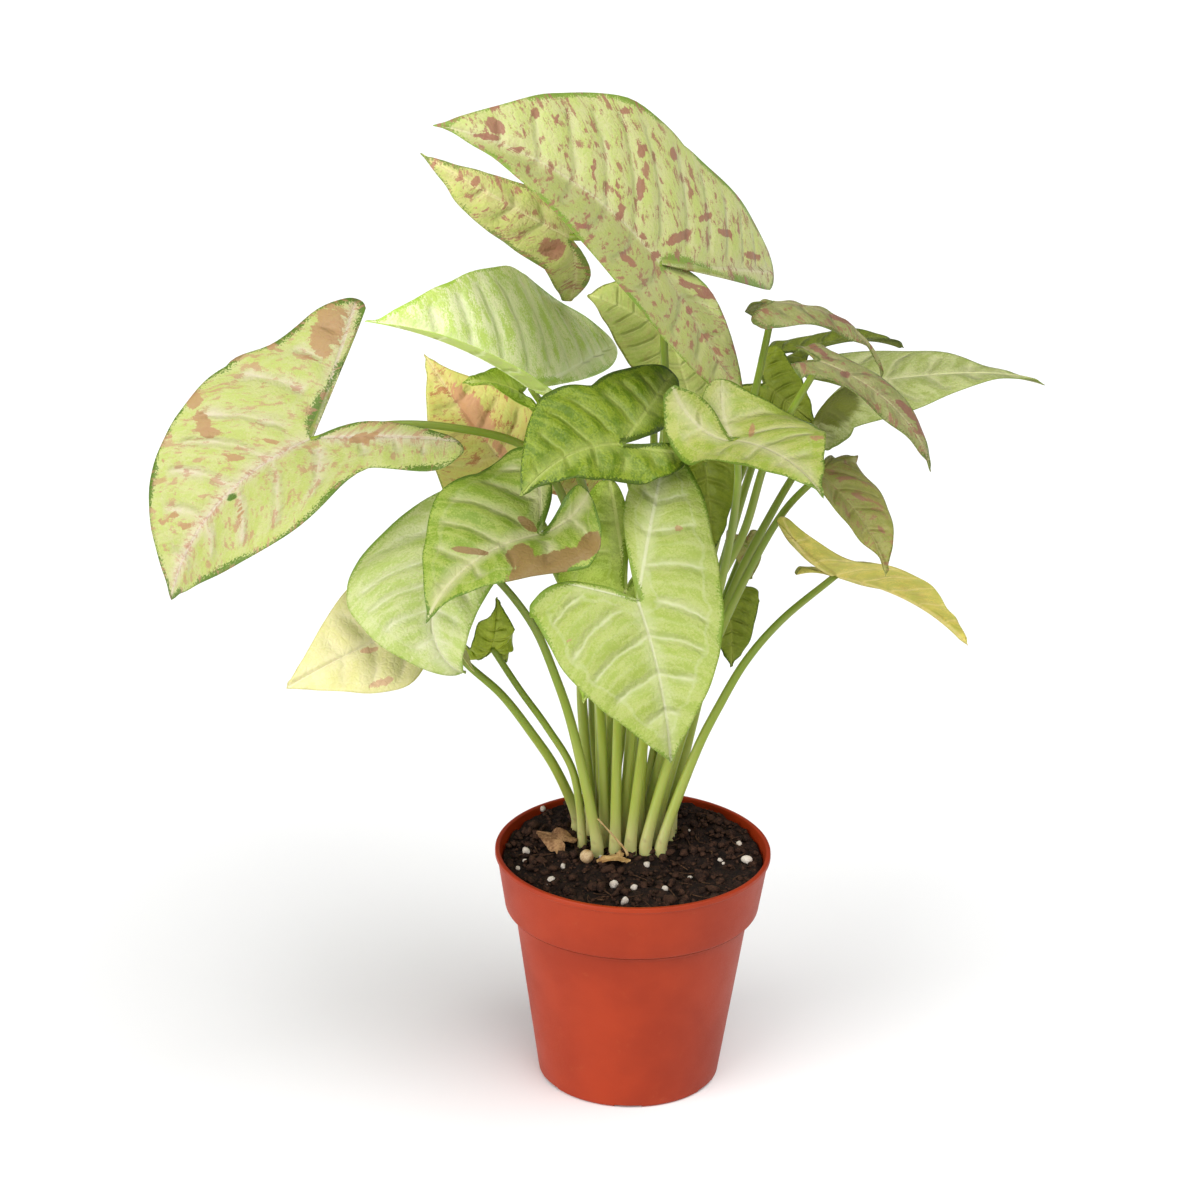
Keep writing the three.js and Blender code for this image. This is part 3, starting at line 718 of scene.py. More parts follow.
@dataclass(frozen=True)
class StemFinish:
    """How a stem is coloured, from its pale foot to its top."""

    name: str = "stem_skin"
    foot: Triple = (190, 186, 124)
    middle: Triple = (158, 172, 66)
    top: Triple = (120, 142, 32)
    tint: Triple = (140, 110, 74)

    def material(self) -> bpy.types.Material:
        """Build the stem's material: colour by height, fine lengthwise lines and a soft gloss.

        Returns:
            The material.
        """
        g = Graph(self.name)
        share, _, low = g.values(PLACE_VALUES)
        round_, length = g.flat_place()
        lines = g.noise(g.vector(round_, g.times(length, 0.06)), 30.0, 3.0)
        cloud = g.noise(g.vector(round_, length), 14.0, 3.0)
        colour = g.mix(g.ease(share, 0.1, 0.85), linear(self.middle), linear(self.top))
        colour = g.mix(g.ease(low, 0.0, 1.0, 0.0, 0.85), colour, linear(self.foot))
        tinted = g.times(g.ease(cloud, 0.55, 0.75), g.ease(low, 0.3, 1.0))
        colour = g.mix(tinted, colour, linear(self.tint))
        colour = g.mix(g.ease(lines, 0.4, 0.7, 0.0, 0.24), colour, linear(self.foot))
        g.bump(lines, 0.12, 0.6)
        return g.finish(colour, g.ease(cloud, 0.2, 0.8, 0.38, 0.5), Specular_IOR_Level=0.4,
                        Subsurface_Weight=0.2, Subsurface_Scale=0.0015)


@dataclass(frozen=True)
class PotFinish:
    """Moulded terracotta-coloured plastic with a fine grain and a little dust."""

    name: str = "pot_plastic"
    base: Triple = (157, 48, 9)
    deep: Triple = (144, 42, 8)
    dust: Triple = (172, 82, 40)

    def material(self) -> bpy.types.Material:
        """Build the pot's material: clouded colour, dusty scuffs and a fine grain.

        Returns:
            The material.
        """
        g = Graph(self.name)
        place = g.object_place()
        cloud = g.noise(place, 28.0, 4.0, 0.6)
        grain = g.noise(place, 2600.0, 2.0)
        scuff = g.noise(place, 160.0, 5.0, 0.7)
        colour = g.mix(g.ease(cloud, 0.35, 0.7), linear(self.base), linear(self.deep))
        colour = g.mix(g.ease(scuff, 0.6, 0.8, 0.0, 0.3), colour, linear(self.dust))
        g.bump(g.plus(g.times(grain, 0.5), g.times(scuff, 0.5)), 0.06, 0.5)
        return g.finish(colour, g.ease(g.plus(cloud, grain), 0.7, 1.3, 0.42, 0.58),
                        Specular_IOR_Level=0.26, Subsurface_Weight=0.06, Subsurface_Scale=0.001)


@dataclass(frozen=True)
class GroundFinish:
    """A dull, crumbly or fibrous stuff of two colours.

    scale is the grain's fineness over a metre and relief its height in millimetres. balance is
    where the noise turns from dark to light, and tones how far a lump's own tone lightens it.
    """

    name: str
    dark: Triple
    light: Triple
    scale: float = 260.0
    relief: float = 0.6
    balance: Pair = (0.4, 0.7)
    roughness: float = 0.92
    tones: float = 0.0

    def material(self) -> bpy.types.Material:
        """Build the material: two colours by noise, with a relief of the same grain.

        Returns:
            The material.
        """
        g = Graph(self.name)
        place = g.object_place()
        coarse = g.noise(place, self.scale, 5.0, 0.65)
        fine = g.noise(place, self.scale * 5, 3.0, 0.6)
        both = g.plus(g.times(coarse, 0.6), g.times(fine, 0.4))
        colour = g.mix(g.ease(both, *self.balance), linear(self.dark), linear(self.light))
        if self.tones:
            tone = g.ease(g.values(PLACE_VALUES)[0], 0.2, 1.0, 0.0, self.tones)
            colour = g.mix(tone, colour, linear(self.light))
        g.bump(both, self.relief)
        return g.finish(colour, self.roughness, Specular_IOR_Level=0.2)


class Ground(Enum):
    """The finishes of the soil and of what lies on it."""

    SOIL = GroundFinish("soil_mix", (20, 12, 9), (58, 38, 28), 320.0, 0.9, (0.42, 0.68))
    CRUMB = GroundFinish("soil_crumb", (26, 16, 12), (78, 52, 38), 420.0, 0.7, (0.4, 0.68),
        tones=0.4)
    FIBRE = GroundFinish("soil_fibre", (46, 30, 20), (104, 74, 52), 300.0, 0.3)
    PERLITE = GroundFinish("perlite_grain", (190, 178, 164), (224, 216, 206), 500.0, 0.3)
    DRY = GroundFinish("dry_leaf", (100, 68, 44), (172, 134, 94), 200.0, 0.4, (0.35, 0.65), 0.8)
    SCRAP = GroundFinish("dry_scrap", (140, 98, 54), (200, 166, 112), 300.0, 0.4, (0.35, 0.65), 0.8)
    BEAD = GroundFinish("bead_clay", (158, 116, 70), (206, 180, 140), 420.0, 0.25, (0.35, 0.62),
        0.6)
    ROOT = GroundFinish("dry_root", (174, 140, 86), (204, 178, 128), 400.0, 0.2, (0.35, 0.65), 0.7)


class Skin(Enum):
    """The finishes of the blades, each a leaf's own look or a change of another."""

    # lean=0.5 darkens the top leaf's left half: partly painted shade, partly its greyer colour.
    FLECKED = LeafFinish("leaf_flecked", "flecked", (200, 200, 138), (184, 200, 100),
        (216, 212, 166), (122, 152, 50), (156, 160, 88), gain=0.88, halo=0.4, lines=0.35,
        flecks=0.9, band=4.5, edging=0.03, blush=0.3, lean=0.5)
    SPRING = replace(FLECKED, name="leaf_spring", ground=(222, 224, 150), second=(200, 216, 100),
        vein=(244, 228, 204), margin=(92, 130, 24), fleck=(208, 150, 122), spot=(203, 160, 112),
        gain=0.62, halo=0.65, band=5.0, edging=0.0, blush=0.6, flecks=0.65, lean=0.0)
    GREYED = replace(FLECKED, name="leaf_greyed", ground=(186, 182, 118), second=(170, 182, 90),
        vein=(206, 198, 146), margin=(104, 122, 50), gain=1.25, halo=0.3, lean=0.0)
    TAWNY = replace(GREYED, name="leaf_tawny", ground=(170, 170, 110), second=(146, 156, 80),
        gain=0.66)
    SICKLE = replace(TAWNY, name="leaf_sickle_skin", slot="green", spot=(158, 112, 92), gain=0.68,
        flecks=0.85)
    PALE = LeafFinish("leaf_pale", "pale", (230, 233, 186), (184, 207, 96), (230, 236, 190),
        (158, 190, 66), (180, 192, 116), gain=1.06, halo=0.65, lines=0.6, streaks=0.9, band=3.5,
        lean=0.3)
    CREAM = replace(PALE, name="leaf_cream", ground=(232, 224, 166), second=(220, 216, 136),
        vein=(240, 232, 190), margin=(206, 198, 120), spot=(216, 176, 138), gain=0.85, halo=0.4,
        lines=0.3, streaks=0.5, band=1.0, lean=0.0, furrow=0.7)
    # dark is the under colour of the long leaf's drooping right lobe, laid on as a patch that is
    # partly painted shade.
    LONG = replace(PALE, name="leaf_long", ground=(192, 198, 132), second=(158, 170, 86),
        vein=(216, 216, 162), margin=(134, 150, 68), under=(112, 120, 38), dark=(110, 116, 34),
        gain=0.72, halo=0.5, lines=0.4, band=1.6, lean=0.0)
    ROSY = LeafFinish("leaf_rosy", "rosy", (206, 206, 112), (208, 184, 104), (226, 206, 150),
        (160, 164, 70), (170, 162, 90), fleck=(184, 122, 80), spot=(206, 152, 112), gain=1.0,
        flecks=0.9, halo=0.3, lines=0.3, band=1.4)
    GREEN = LeafFinish("leaf_green", "green", (150, 170, 44), (100, 130, 10), (188, 202, 104),
        (74, 98, 10), (104, 122, 42), gain=0.68, halo=0.55, lines=0.45, streaks=0.95, band=3.0,
        edging=0.05)
    LIME = replace(GREEN, name="leaf_lime", ground=(208, 212, 118), second=(172, 192, 72),
        vein=(230, 226, 174), margin=(112, 144, 36), spot=(204, 158, 112), gain=0.57, halo=0.6)
    BANDED = replace(GREEN, name="leaf_banded", ground=(166, 180, 84), second=(128, 154, 42),
        vein=(206, 204, 152), margin=(92, 124, 28), spot=(146, 114, 70), gain=0.78, halo=0.75,
        lines=0.55, ragged=0.9)
    VEINED = LeafFinish("leaf_veined", "veined", (200, 210, 120), (174, 194, 78), (230, 234, 182),
        (140, 170, 52), (140, 152, 74), spot=(206, 168, 118), gain=0.6, halo=0.45, lines=0.75,
        streaks=0.8, band=3.5)
    MISTY = replace(VEINED, name="leaf_misty", ground=(212, 218, 152), second=(180, 200, 98),
        vein=(234, 234, 196), margin=(154, 184, 76), gain=0.78, halo=0.55, lines=0.4, furrow=1.4)
    SHADED = replace(VEINED, name="leaf_shaded", ground=(164, 180, 80), second=(126, 146, 40),
        vein=(198, 204, 128), margin=(106, 130, 30), gain=1.6, lines=0.5)
    DEEP = LeafFinish("leaf_deep", "deep", (122, 134, 32), (94, 108, 16), (150, 160, 66),
        (72, 88, 10), (98, 108, 28), spot=(130, 100, 60), gain=0.64, halo=0.3, lines=0.4, band=1.6)
    MOSS = replace(DEEP, name="leaf_moss", ground=(128, 140, 34), second=(104, 118, 18), gain=1.05)
    CURL = replace(MOSS, name="leaf_curl_skin", gain=1.7)
    OLIVE = LeafFinish("leaf_olive", "olive", (152, 148, 80), (124, 130, 50), (172, 168, 104),
        (104, 110, 38), (122, 122, 48), fleck=(150, 112, 80), spot=(150, 110, 84), gain=1.08,
        flecks=0.85, halo=0.3, lines=0.3, band=1.4)
    SAGE = replace(OLIVE, name="leaf_sage", ground=(168, 172, 100), second=(146, 162, 70),
        vein=(188, 192, 124), under=(150, 158, 70), gain=1.45, flecks=0.2)
    YELLOW = replace(OLIVE, name="leaf_yellow_skin", ground=(196, 188, 100), second=(150, 160, 66),
        under=(206, 190, 92), vein=(226, 208, 140), margin=(150, 140, 62), fleck=(166, 128, 70),
        gain=1.08, flecks=0.5)


# ---- leaves

class Half(IntEnum):
    """The halves of a blade, seen from above with the tip ahead."""

    LEFT = 0
    RIGHT = 1

    @property
    def side(self) -> int:
        """Give the half's sign across the midrib."""
        return 1 if self is Half.RIGHT else -1


@dataclass(frozen=True)
class Blade:
    """One leaf's driving sizes.

    at is where the stem joins the blade, tip the blade's tip, and faces where its upper side
    looks. lobes are the lengths of the back lobes, arch and hook bend the midrib down, and
    lobe_drop the lobes. fold lifts a half along the midrib and curl bends it down toward its
    margin. share is a half's part of the width; full, waist, spread and belly swell or narrow its
    outline. bow bends the midrib sideways. wave is the margin's waves: height, count and start.
    veins counts the side veins of a half, foot is the stem's place in the soil and stem its
    course. A plain blade is small. Pairs are for the left and the right half. Angles are in
    degrees, and all else in millimetres or in shares of the blade's own sizes.
    """

    name: str
    at: Triple
    tip: Triple
    faces: Triple
    width: float
    lobes: Pair
    arch: float = 30
    hook: float = 15
    lobe_drop: Pair = (15, 15)
    fold: Pair = (20, 20)
    curl: Pair = (30, 30)
    share: Pair = (1, 1)
    full: Pair = (0, 0)
    waist: Pair = (0, 0)
    spread: Pair = (0.1, 0.1)
    belly: Pair = (0, 0)
    bow: float = 0
    wave: Triple = (1.2, 3, 0)
    veins: float = 5
    plain: bool = False
    foot: Pair = (0, 0)
    stem: tuple[Triple, ...] = ()


@dataclass(frozen=True)
class Spot:
    """A coloured patch: its middle in pixels of the front view, its half sizes there and its turn.

    A dark patch takes the finish's dark colour.
    """

    px: float
    py: float
    long: float
    wide: float
    turn: float = 0.0
    dark: bool = False

    def field(self, pixels: np.ndarray) -> np.ndarray:
        """Rise from less than 0 outside the ellipse, over 0 on its line, to 1 at its middle.

        Args:
            pixels: Places in the front view.

        Returns:
            1 - hypot(across / long, down / wide), with across and down turned with the patch.
        """
        turn = math.radians(self.turn)
        x, y = pixels[:, 0] - self.px, self.py - pixels[:, 1]
        across = (x * math.cos(turn) + y * math.sin(turn)) / self.long
        down = (y * math.cos(turn) - x * math.sin(turn)) / self.wide
        return 1 - np.hypot(across, down)


HALF_OUTLINE = np.array([
    (0, 1), (0.06, 0.93), (0.22, 0.81), (0.5, 0.62), (0.78, 0.38), (0.95, 0.1),
    (1, -0.22), (0.95, -0.62), (0.76, -0.94), (0.5, -0.97), (0.22, -0.6), (0.05, 0),
])
LOBE_END = 9 / 11
WAIST_LENGTH = 0.25
BEND_STEPS = 24
VEIN_SLOPE, VEIN_SWEEP = 0.35, 0.5
LOBE_STRETCH, INNER_SLOPE = 0.6, 0.6
RIB_ACROSS, RIB_SPREAD, RIB_BACK = 0.62, 0.9, 0.92
LEAST_SPACING = 5.0
SMALL_LOBE, SMALL_LOBE_FADE = 12.0, 1.8


def outline(away: np.ndarray) -> np.ndarray:
    """Follow half of the flat outline, from the tip at 0 to the lobe's inner edge at 1.

    Between two corners it is a cubic, whose slopes are half the steps between the neighbours.

    Args:
        away: Shares of the way.

    Returns:
        The across and along values of each share.
    """
    last = len(HALF_OUTLINE) - 1
    step = np.minimum((away * last).astype(int), last - 1)
    w = (away * last - step)[:, None]
    before, after = np.maximum(step - 1, 0), np.minimum(step + 2, last)
    p0, p1, p2, p3 = (HALF_OUTLINE[i] for i in (before, step, step + 1, after))
    return cubic(p1, p2, (p2 - p0) / 2, (p3 - p1) / 2, w)


def bent_line(turn: Callable[[np.ndarray], np.ndarray],
              share: np.ndarray) -> tuple[np.ndarray, np.ndarray]:
    """Follow a line of length 1 that turns down by turn(t) a share t of the way along.

    ahead is the integral of cos(turn), and up of -sin(turn), from 0 to the share.

    Args:
        turn: The line's downward angle in radians.
        share: Where the line is followed to.

    Returns:
        How far ahead and how far up the line is there.
    """
    middles = (np.arange(BEND_STEPS) + 0.5) / BEND_STEPS
    angles = turn(share[..., None] * middles)
    return share * np.cos(angles).mean(-1), -share * np.sin(angles).mean(-1)


class BladeForm:
    """A blade's surface over its flat outline."""

    def __init__(self, blade: Blade) -> None:
        """Work out the blade's own directions, so that the bent midrib ends at the tip."""
        self.blade = blade
        self.at = np.array(blade.at, float)
        chord = np.array(blade.tip, float) - self.at
        ahead, up = bent_line(self.midrib_turn, np.array(1.0))
        reach = math.hypot(ahead, up)
        self.length = float(np.linalg.norm(chord) / reach)
        along = unit(chord)
        faces = np.array(blade.faces, float)
        faces = unit(faces - along * (faces @ along))
        self.midrib = along * (ahead / reach) - faces * (up / reach)
        self.upper = along * (up / reach) + faces * (ahead / reach)
        self.right = np.cross(self.midrib, self.upper)

    def midrib_turn(self, t: np.ndarray) -> np.ndarray:
        """Give the midrib's downward angle: arch * t + hook * t^4."""
        return math.radians(self.blade.arch) * t + math.radians(self.blade.hook) * t**4

    def half_width(self, half: Half) -> float:
        """Give the width of one half."""
        return self.blade.width / 2 * self.blade.share[half]

    def flat_half(self, half: Half, ring: np.ndarray,
                  away: np.ndarray) -> tuple[np.ndarray, np.ndarray]:
        """Lay out one half flat, shrunk toward the stem by ring.

        x is (outline + swing - bulge) * (1 - waist) * half width, and y is outline * length or lobe
        length. The bulge is a half wave along the lobe's inner edge.

        Args:
            half: The half.
            ring: Shares of the way from the stem to the margin, as a column.
            away: Shares of the way round the margin from the tip, as a row.

        Returns:
            x and y in millimetres.
        """
        leaf = self.blade
        across, along = outline(away).T
        ahead = leaf.full[half] * along**2 * (1 - along)
        swing = np.where(along < 0, leaf.spread[half] * -along, ahead)
        waist = leaf.waist[half] * bell(along, WAIST_LENGTH)
        inner = np.maximum(0, (away - LOBE_END) / (1 - LOBE_END))
        bulge = leaf.belly[half] * np.sin(np.pi * inner)
        x = ring * (across + swing - bulge) * (1 - waist) * self.half_width(half)
        y = ring * along * np.where(along < 0, leaf.lobes[half], self.length)
        return x, y

    def lift_up(self, half: Half, x: np.ndarray, y: np.ndarray, wave: np.ndarray) -> np.ndarray:
        """Carry flat places onto the folded, curled and bent blade.

        Across the midrib a half is an arc: with bend = curl / half width, across is
        (sin(fold) - sin(fold - bend*x)) / bend and rise is (cos(fold - bend*x) - cos(fold)) / bend.
        Along it, both follow the bent midrib or the bent lobe.

        Args:
            half: The half.
            x: Distance from the midrib.
            y: Distance ahead of the stem.
            wave: Rise of the margin's waves.

        Returns:
            The points.
        """
        leaf = self.blade
        ahead = y >= 0
        scale = np.where(ahead, self.length, leaf.lobes[half])
        share = np.abs(y) / scale

        def lobe_turn(t: np.ndarray) -> np.ndarray:
            """Give the lobe's downward angle: lobe_drop * t."""
            return math.radians(leaf.lobe_drop[half]) * t

        front, back = bent_line(self.midrib_turn, share), bent_line(lobe_turn, share)
        run, rise_along = (np.where(ahead, f, b) for f, b in zip(front, back))
        lean = np.where(ahead, self.midrib_turn(share), -lobe_turn(share))
        fold = math.radians(leaf.fold[half])
        bend = (math.radians(leaf.curl[half]) or 1e-6) / self.half_width(half)
        across = (math.sin(fold) - np.sin(fold - bend * x)) / bend
        rise = (np.cos(fold - bend * x) - math.cos(fold)) / bend + wave
        sideways = half.side * across + np.where(ahead, 4 * leaf.bow * share * (1 - share), 0)
        forward = np.where(ahead, 1, -1) * scale * run + rise * np.sin(lean)
        upward = scale * rise_along + rise * np.cos(lean)
        return (self.at + self.right * sideways[..., None] + self.midrib * forward[..., None]
                + self.upper * upward[..., None])

    def veins(self, half: Half, x: np.ndarray, y: np.ndarray) -> tuple[np.ndarray, np.ndarray]:
        """Work out the veins over the flat half.

        A vein lies at each whole number of the phase. Ahead of the stem the phase is (y - slope*x
        - sweep*x^3/width^2) / spacing, so the side veins turn toward the tip. Behind the stem it
        is stretched by 1 - 0.6*v/width, so they turn toward the lobe's end, where u runs along the
        lobe's rib and v away from it. Inside the rib it is -(u - 0.6*|v|) * rib slope / spacing.

        Args:
            half: The half.
            x: Distance from the midrib.
            y: Distance ahead of the stem.

        Returns:
            The phase, and the distance to the nearest rib in millimetres.
        """
        lobe, width, swing = self.blade.lobes[half], self.half_width(half), self.blade.spread[half]
        spacing = max(LEAST_SPACING, self.length / self.blade.veins)
        ahead = (y - VEIN_SLOPE * x - VEIN_SWEEP * x**3 / width**2) / spacing
        rib = unit(np.array([(RIB_ACROSS + RIB_SPREAD * swing) * width, -RIB_BACK * lobe]))
        u, v = x * rib[0] + y * rib[1], y * rib[0] - x * rib[1]
        behind = ahead * np.where(ahead < 0, 1 - LOBE_STRETCH * np.clip(v, 0, width) / width, 1)
        inside = -(u - INNER_SLOPE * np.abs(v)) * (VEIN_SLOPE * rib[0] - rib[1]) / spacing
        phase = np.where((v < 0) & (u > 0), inside, behind)
        to_rib = np.where(u > 0, np.abs(v), np.hypot(x, y))
        to_rib = to_rib * (1.0 if lobe > SMALL_LOBE else SMALL_LOBE_FADE)
        to_midrib = np.where(y > 0, np.abs(x), np.hypot(x, y))
        return phase, np.minimum(to_rib, to_midrib)


def margin_distance(x: np.ndarray, y: np.ndarray) -> np.ndarray:
    """Give the distance from each flat place of a half to its margin, which is the last row.

    Args:
        x: Distance from the midrib, as rows of rings.
        y: Distance ahead of the stem.

    Returns:
        The distance to the nearest stretch between two places of the margin.
    """
    places = np.stack([x, y], -1)
    start, step = places[-1, :-1], np.diff(places[-1], axis=0)
    offset = places[:, :, None] - start
    share = np.clip((offset * step).sum(-1) / np.maximum((step**2).sum(-1), 1e-9), 0, 1)
    return np.linalg.norm(offset - share[..., None] * step, axis=-1).min(-1)


@dataclass
class BladeSheet:
    """A blade's closed mesh: a thin sheet with raised veins, creases and a rippled margin.

    pucker is the depth of the creases between the veins, ripple the width of the margin's
    unevenness and quiet the distance to a rib or the margin within which the creases fade.
    """

    blade: Blade
    spots: tuple[Spot, ...] = ()
    thickness: float = 0.5
    margin_thickness: float = 0.24
    margin_start: float = 0.85
    groove: float = 0.16
    groove_reach: float = 0.8
    keel: float = 0.6
    keel_reach: float = 1.3
    taper: float = 0.75
    pucker: float = 0.6
    quiet: float = 6.0
    ripple: float = 1.2
    ripple_counts: Pair = (21, 13)
    ripple_seeds: tuple[int, int] = (8, 9)
    ring_crowding: float = 0.9
    rings: int = 26
    columns: int = 72
    form: BladeForm = field(init=False)

    def __post_init__(self) -> None:
        """Work out the blade's form."""
        self.form = BladeForm(self.blade)

    def rippled(self, half: Half, ring: np.ndarray, away: np.ndarray) -> list[np.ndarray]:
        """Work out the margin's two ripples, which grow toward it and fade at the tip and the lobe.

        Args:
            half: The half.
            ring: Shares of the way from the stem to the margin, as a column.
            away: Shares of the way round the margin, as a row.

        Returns:
            The shift across and the rise, in millimetres.
        """
        held = smooth(0, 0.06, away) * (1 - smooth(0.9, 1, away)) * ring**3 * self.ripple
        start = 7 * half + self.blade.at[2]
        return [held * (lattice_noise(away * count + start, away * 0, 1.0, seed) - 0.5)
                for count, seed in zip(self.ripple_counts, self.ripple_seeds)]

    def lay_out(self) -> tuple[np.ndarray, np.ndarray, np.ndarray]:
        """Lay out the blade's middle surface as rings round the stem's end.

        The rise is the margin's waves, height * ring^2 * sin(pi * away) * sin(2*pi * count * away +
        start), plus its ripple, less pucker * cos(2*pi * phase) between the veins.

        Returns:
            The points, the flat places, and the veins' phase, rib and margin distance, each as rows
            of rings with columns from the left lobe round the tip to the right lobe.
        """
        ring = np.linspace(0, 1, self.rings + 1)[1:, None] ** self.ring_crowding
        away = np.linspace(0, 1, self.columns + 1)
        height, count, start = self.blade.wave
        points, flat, veins = [], [], []
        for half in Half:
            x, y = self.form.flat_half(half, ring, away)
            shift, rise = self.rippled(half, ring, away)
            x = x + shift
            phase, rib = self.form.veins(half, x, y)
            edge = margin_distance(x, y)
            waves = np.sin(2 * np.pi * count * half.side * away + start)
            wave = height * ring**2 * np.sin(np.pi * away) * waves + 2 * rise
            creases = smooth(0, self.quiet, rib) * smooth(0, self.quiet, edge)
            wave = wave - self.pucker * np.cos(2 * np.pi * phase) * creases
            order = slice(None, 0, -1) if half is Half.LEFT else slice(None)
            points.append(self.form.lift_up(half, x, y, wave)[:, order])
            flat.append(np.stack([half.side * x, y], -1)[:, order] / FLAT_UNIT)
            veins.append(np.stack([phase, rib, edge], -1)[:, order])
        return np.concatenate(points, 1), np.concatenate(flat, 1), np.concatenate(veins, 1)

    def sides(self, points: np.ndarray, rib: np.ndarray) -> tuple[np.ndarray, np.ndarray]:
        """Set the upper and the lower side off the middle surface.

        The skin thins toward the margin. A groove runs over each rib and a keel under it, and both
        taper toward the margin.

        Args:
            points: The middle surface.
            rib: Distance to the nearest rib.

        Returns:
            The points of the upper and of the lower side, each with the middle at the stem first.
        """
        ring = np.linspace(0, 1, self.rings + 1)[1:, None] ** self.ring_crowding
        normal = unit(np.cross(np.gradient(points, axis=1), np.gradient(points, axis=0)))
        normal = normal * np.sign((normal @ self.form.upper).sum() or 1)
        thinned = smooth(self.margin_start, 1, ring)
        half = (self.thickness + (self.margin_thickness - self.thickness) * thinned) / 2
        taper = 1 - self.taper * ring
        upper = half - self.groove * bell(rib, self.groove_reach) * taper * smooth(0.0, 0.12, ring)
        lower = half + self.keel * bell(rib, self.keel_reach) * taper
        at, up = self.form.at, self.form.upper * self.thickness
        top = (points + normal * upper[..., None]).reshape(-1, 3)
        bottom = (points - normal * lower[..., None]).reshape(-1, 3)
        return np.concatenate([[at + up / 2], top]), np.concatenate([[at - up], bottom])

    def faces(self, rows: int, row: int) -> np.ndarray:
        """Join both sides' points to quads: two sheets with fans at the stem, and a thin rim.

        Args:
            rows: Number of rings.
            row: Number of points in a ring.

        Returns:
            The quads.
        """
        count = rows * row + 1
        quads = grid_quads(rows, row, 1, False)
        first = np.arange(1, row)
        hub = np.zeros_like(first)
        above = np.concatenate([quads, np.stack([hub, first + 1, first, first], -1)])
        below = np.concatenate([quads[:, ::-1], np.stack([hub, first, first + 1, first + 1], -1)])
        ends = 1 + np.arange(rows) * row
        inward = np.arange(row - 2, 0, -1) + ends[-1]
        loop = np.concatenate([[0], ends + row - 1, inward, ends[::-1]])
        after = np.roll(loop, -1)
        rim = np.stack([after, loop, loop + count, after + count], -1)
        return np.concatenate([above, below + count, rim])

    def surface(self) -> Surface:
        """Make the closed blade, with the fields of its pale and dark spots as place values.

        Returns:
            The surface.
        """
        points, flat, veins = self.lay_out()
        top, bottom = self.sides(points, veins[..., 1])
        everything = np.concatenate([top, bottom])
        pixels = VIEW.project(everything)
        fields = [np.full(len(everything), -1.0) for _ in range(2)]
        for spot in self.spots:
            fields[spot.dark] = np.maximum(fields[spot.dark], spot.field(pixels))
        under = np.repeat([0.0, 1.0], len(top))
        return Surface(
            everything, self.faces(*points.shape[:2]), 0,
            np.concatenate([np.zeros((1, 2)), flat.reshape(-1, 2)] * 2),
            np.concatenate([np.zeros((1, 3)), veins.reshape(-1, 3)] * 2),
            np.stack([under, *fields], -1),
        )


@dataclass
class Stem:
    """A leaf's stem: a round section with a shallow groove, from its buried foot to the blade.

    swell widens the foot by a share that fades over swell_reach.
    """

    form: BladeForm
    foot_radius: float = 2.3
    plain_foot_radius: float = 1.7
    top_radius: float = 1.3
    swell: float = 0.16
    swell_reach: float = 9.0
    sides: int = 14
    steps: int = 10
    buried: float = 14.0
    first_rises: Pair = (1, 4)

    def surface(self) -> Surface:
        """Make the stem's mesh, from below the soil through the leaf's own stem points.

        Returns:
            The surface.
        """
        x, y = self.form.blade.foot
        ground = float(soil_height(x, y))
        straight = [(x, y, ground + rise) for rise in self.first_rises]
        path = np.array([*straight, *self.form.blade.stem, self.form.at + self.form.midrib])
        path = np.concatenate([[(x, y, ground - self.buried)], stem_curve(path, self.steps)])
        foot = self.plain_foot_radius if self.form.blade.plain else self.foot_radius

        def radius(share: np.ndarray, height: np.ndarray) -> np.ndarray:
            """Narrow evenly from the foot to the top, with a swell near the ground."""
            even = foot + (self.top_radius - foot) * share
            return even * (1 + self.swell * bell(height, self.swell_reach))

        return tube(path, radius, self.sides, ground, 1)


@dataclass
class Leaf:
    """One leaf: a blade and its stem, which make one piece."""

    blade: Blade
    finish: LeafFinish
    spots: tuple[Spot, ...] = ()
    plain_rings: int = 18
    plain_columns: int = 36

    def build(self) -> None:
        """Make the leaf's piece and dress it, with a coarser mesh where the blade is plain."""
        coarse = {"rings": self.plain_rings, "columns": self.plain_columns}
        sheet = BladeSheet(self.blade, self.spots, **(coarse if self.blade.plain else {}))
        build_piece(self.blade.name.replace("leaf_", "dressed_"),
                    [sheet.surface(), Stem(sheet.form).surface()],
                    [self.finish, StemFinish()], (self.blade.name,))


def stem_curve(points: np.ndarray, steps: int) -> np.ndarray:
    """Follow a smooth curve through points, with knots spaced by the root of each gap.

    Args:
        points: The points it passes.
        steps: Steps from one point to the next.

    Returns:
        The points of the curve.
    """
    ends = np.concatenate([[2 * points[0] - points[1]], points, [2 * points[-1] - points[-2]]])
    gap = np.sqrt(np.linalg.norm(np.diff(ends, axis=0), axis=1))[:, None]
    p0, p1, p2, p3 = ends[:-3], ends[1:-2], ends[2:-1], ends[3:]
    a, b, c = gap[:-2], gap[1:-1], gap[2:]
    out = ((p1 - p0) / a - (p2 - p0) / (a + b) + (p2 - p1) / b) * b
    into = ((p2 - p1) / b - (p3 - p1) / (b + c) + (p3 - p2) / c) * b
    w = (np.arange(steps) / steps)[None, :, None]
    curve = cubic(*(v[:, None] for v in (p1, p2, out, into)), w)
    return np.concatenate([curve.reshape(-1, 3), points[-1:]])


GROOVE_DEPTH, GROOVE_REACH = 0.1, 0.45
GROUND_REACH = 16.0
FLAT_ROUND = 2.0


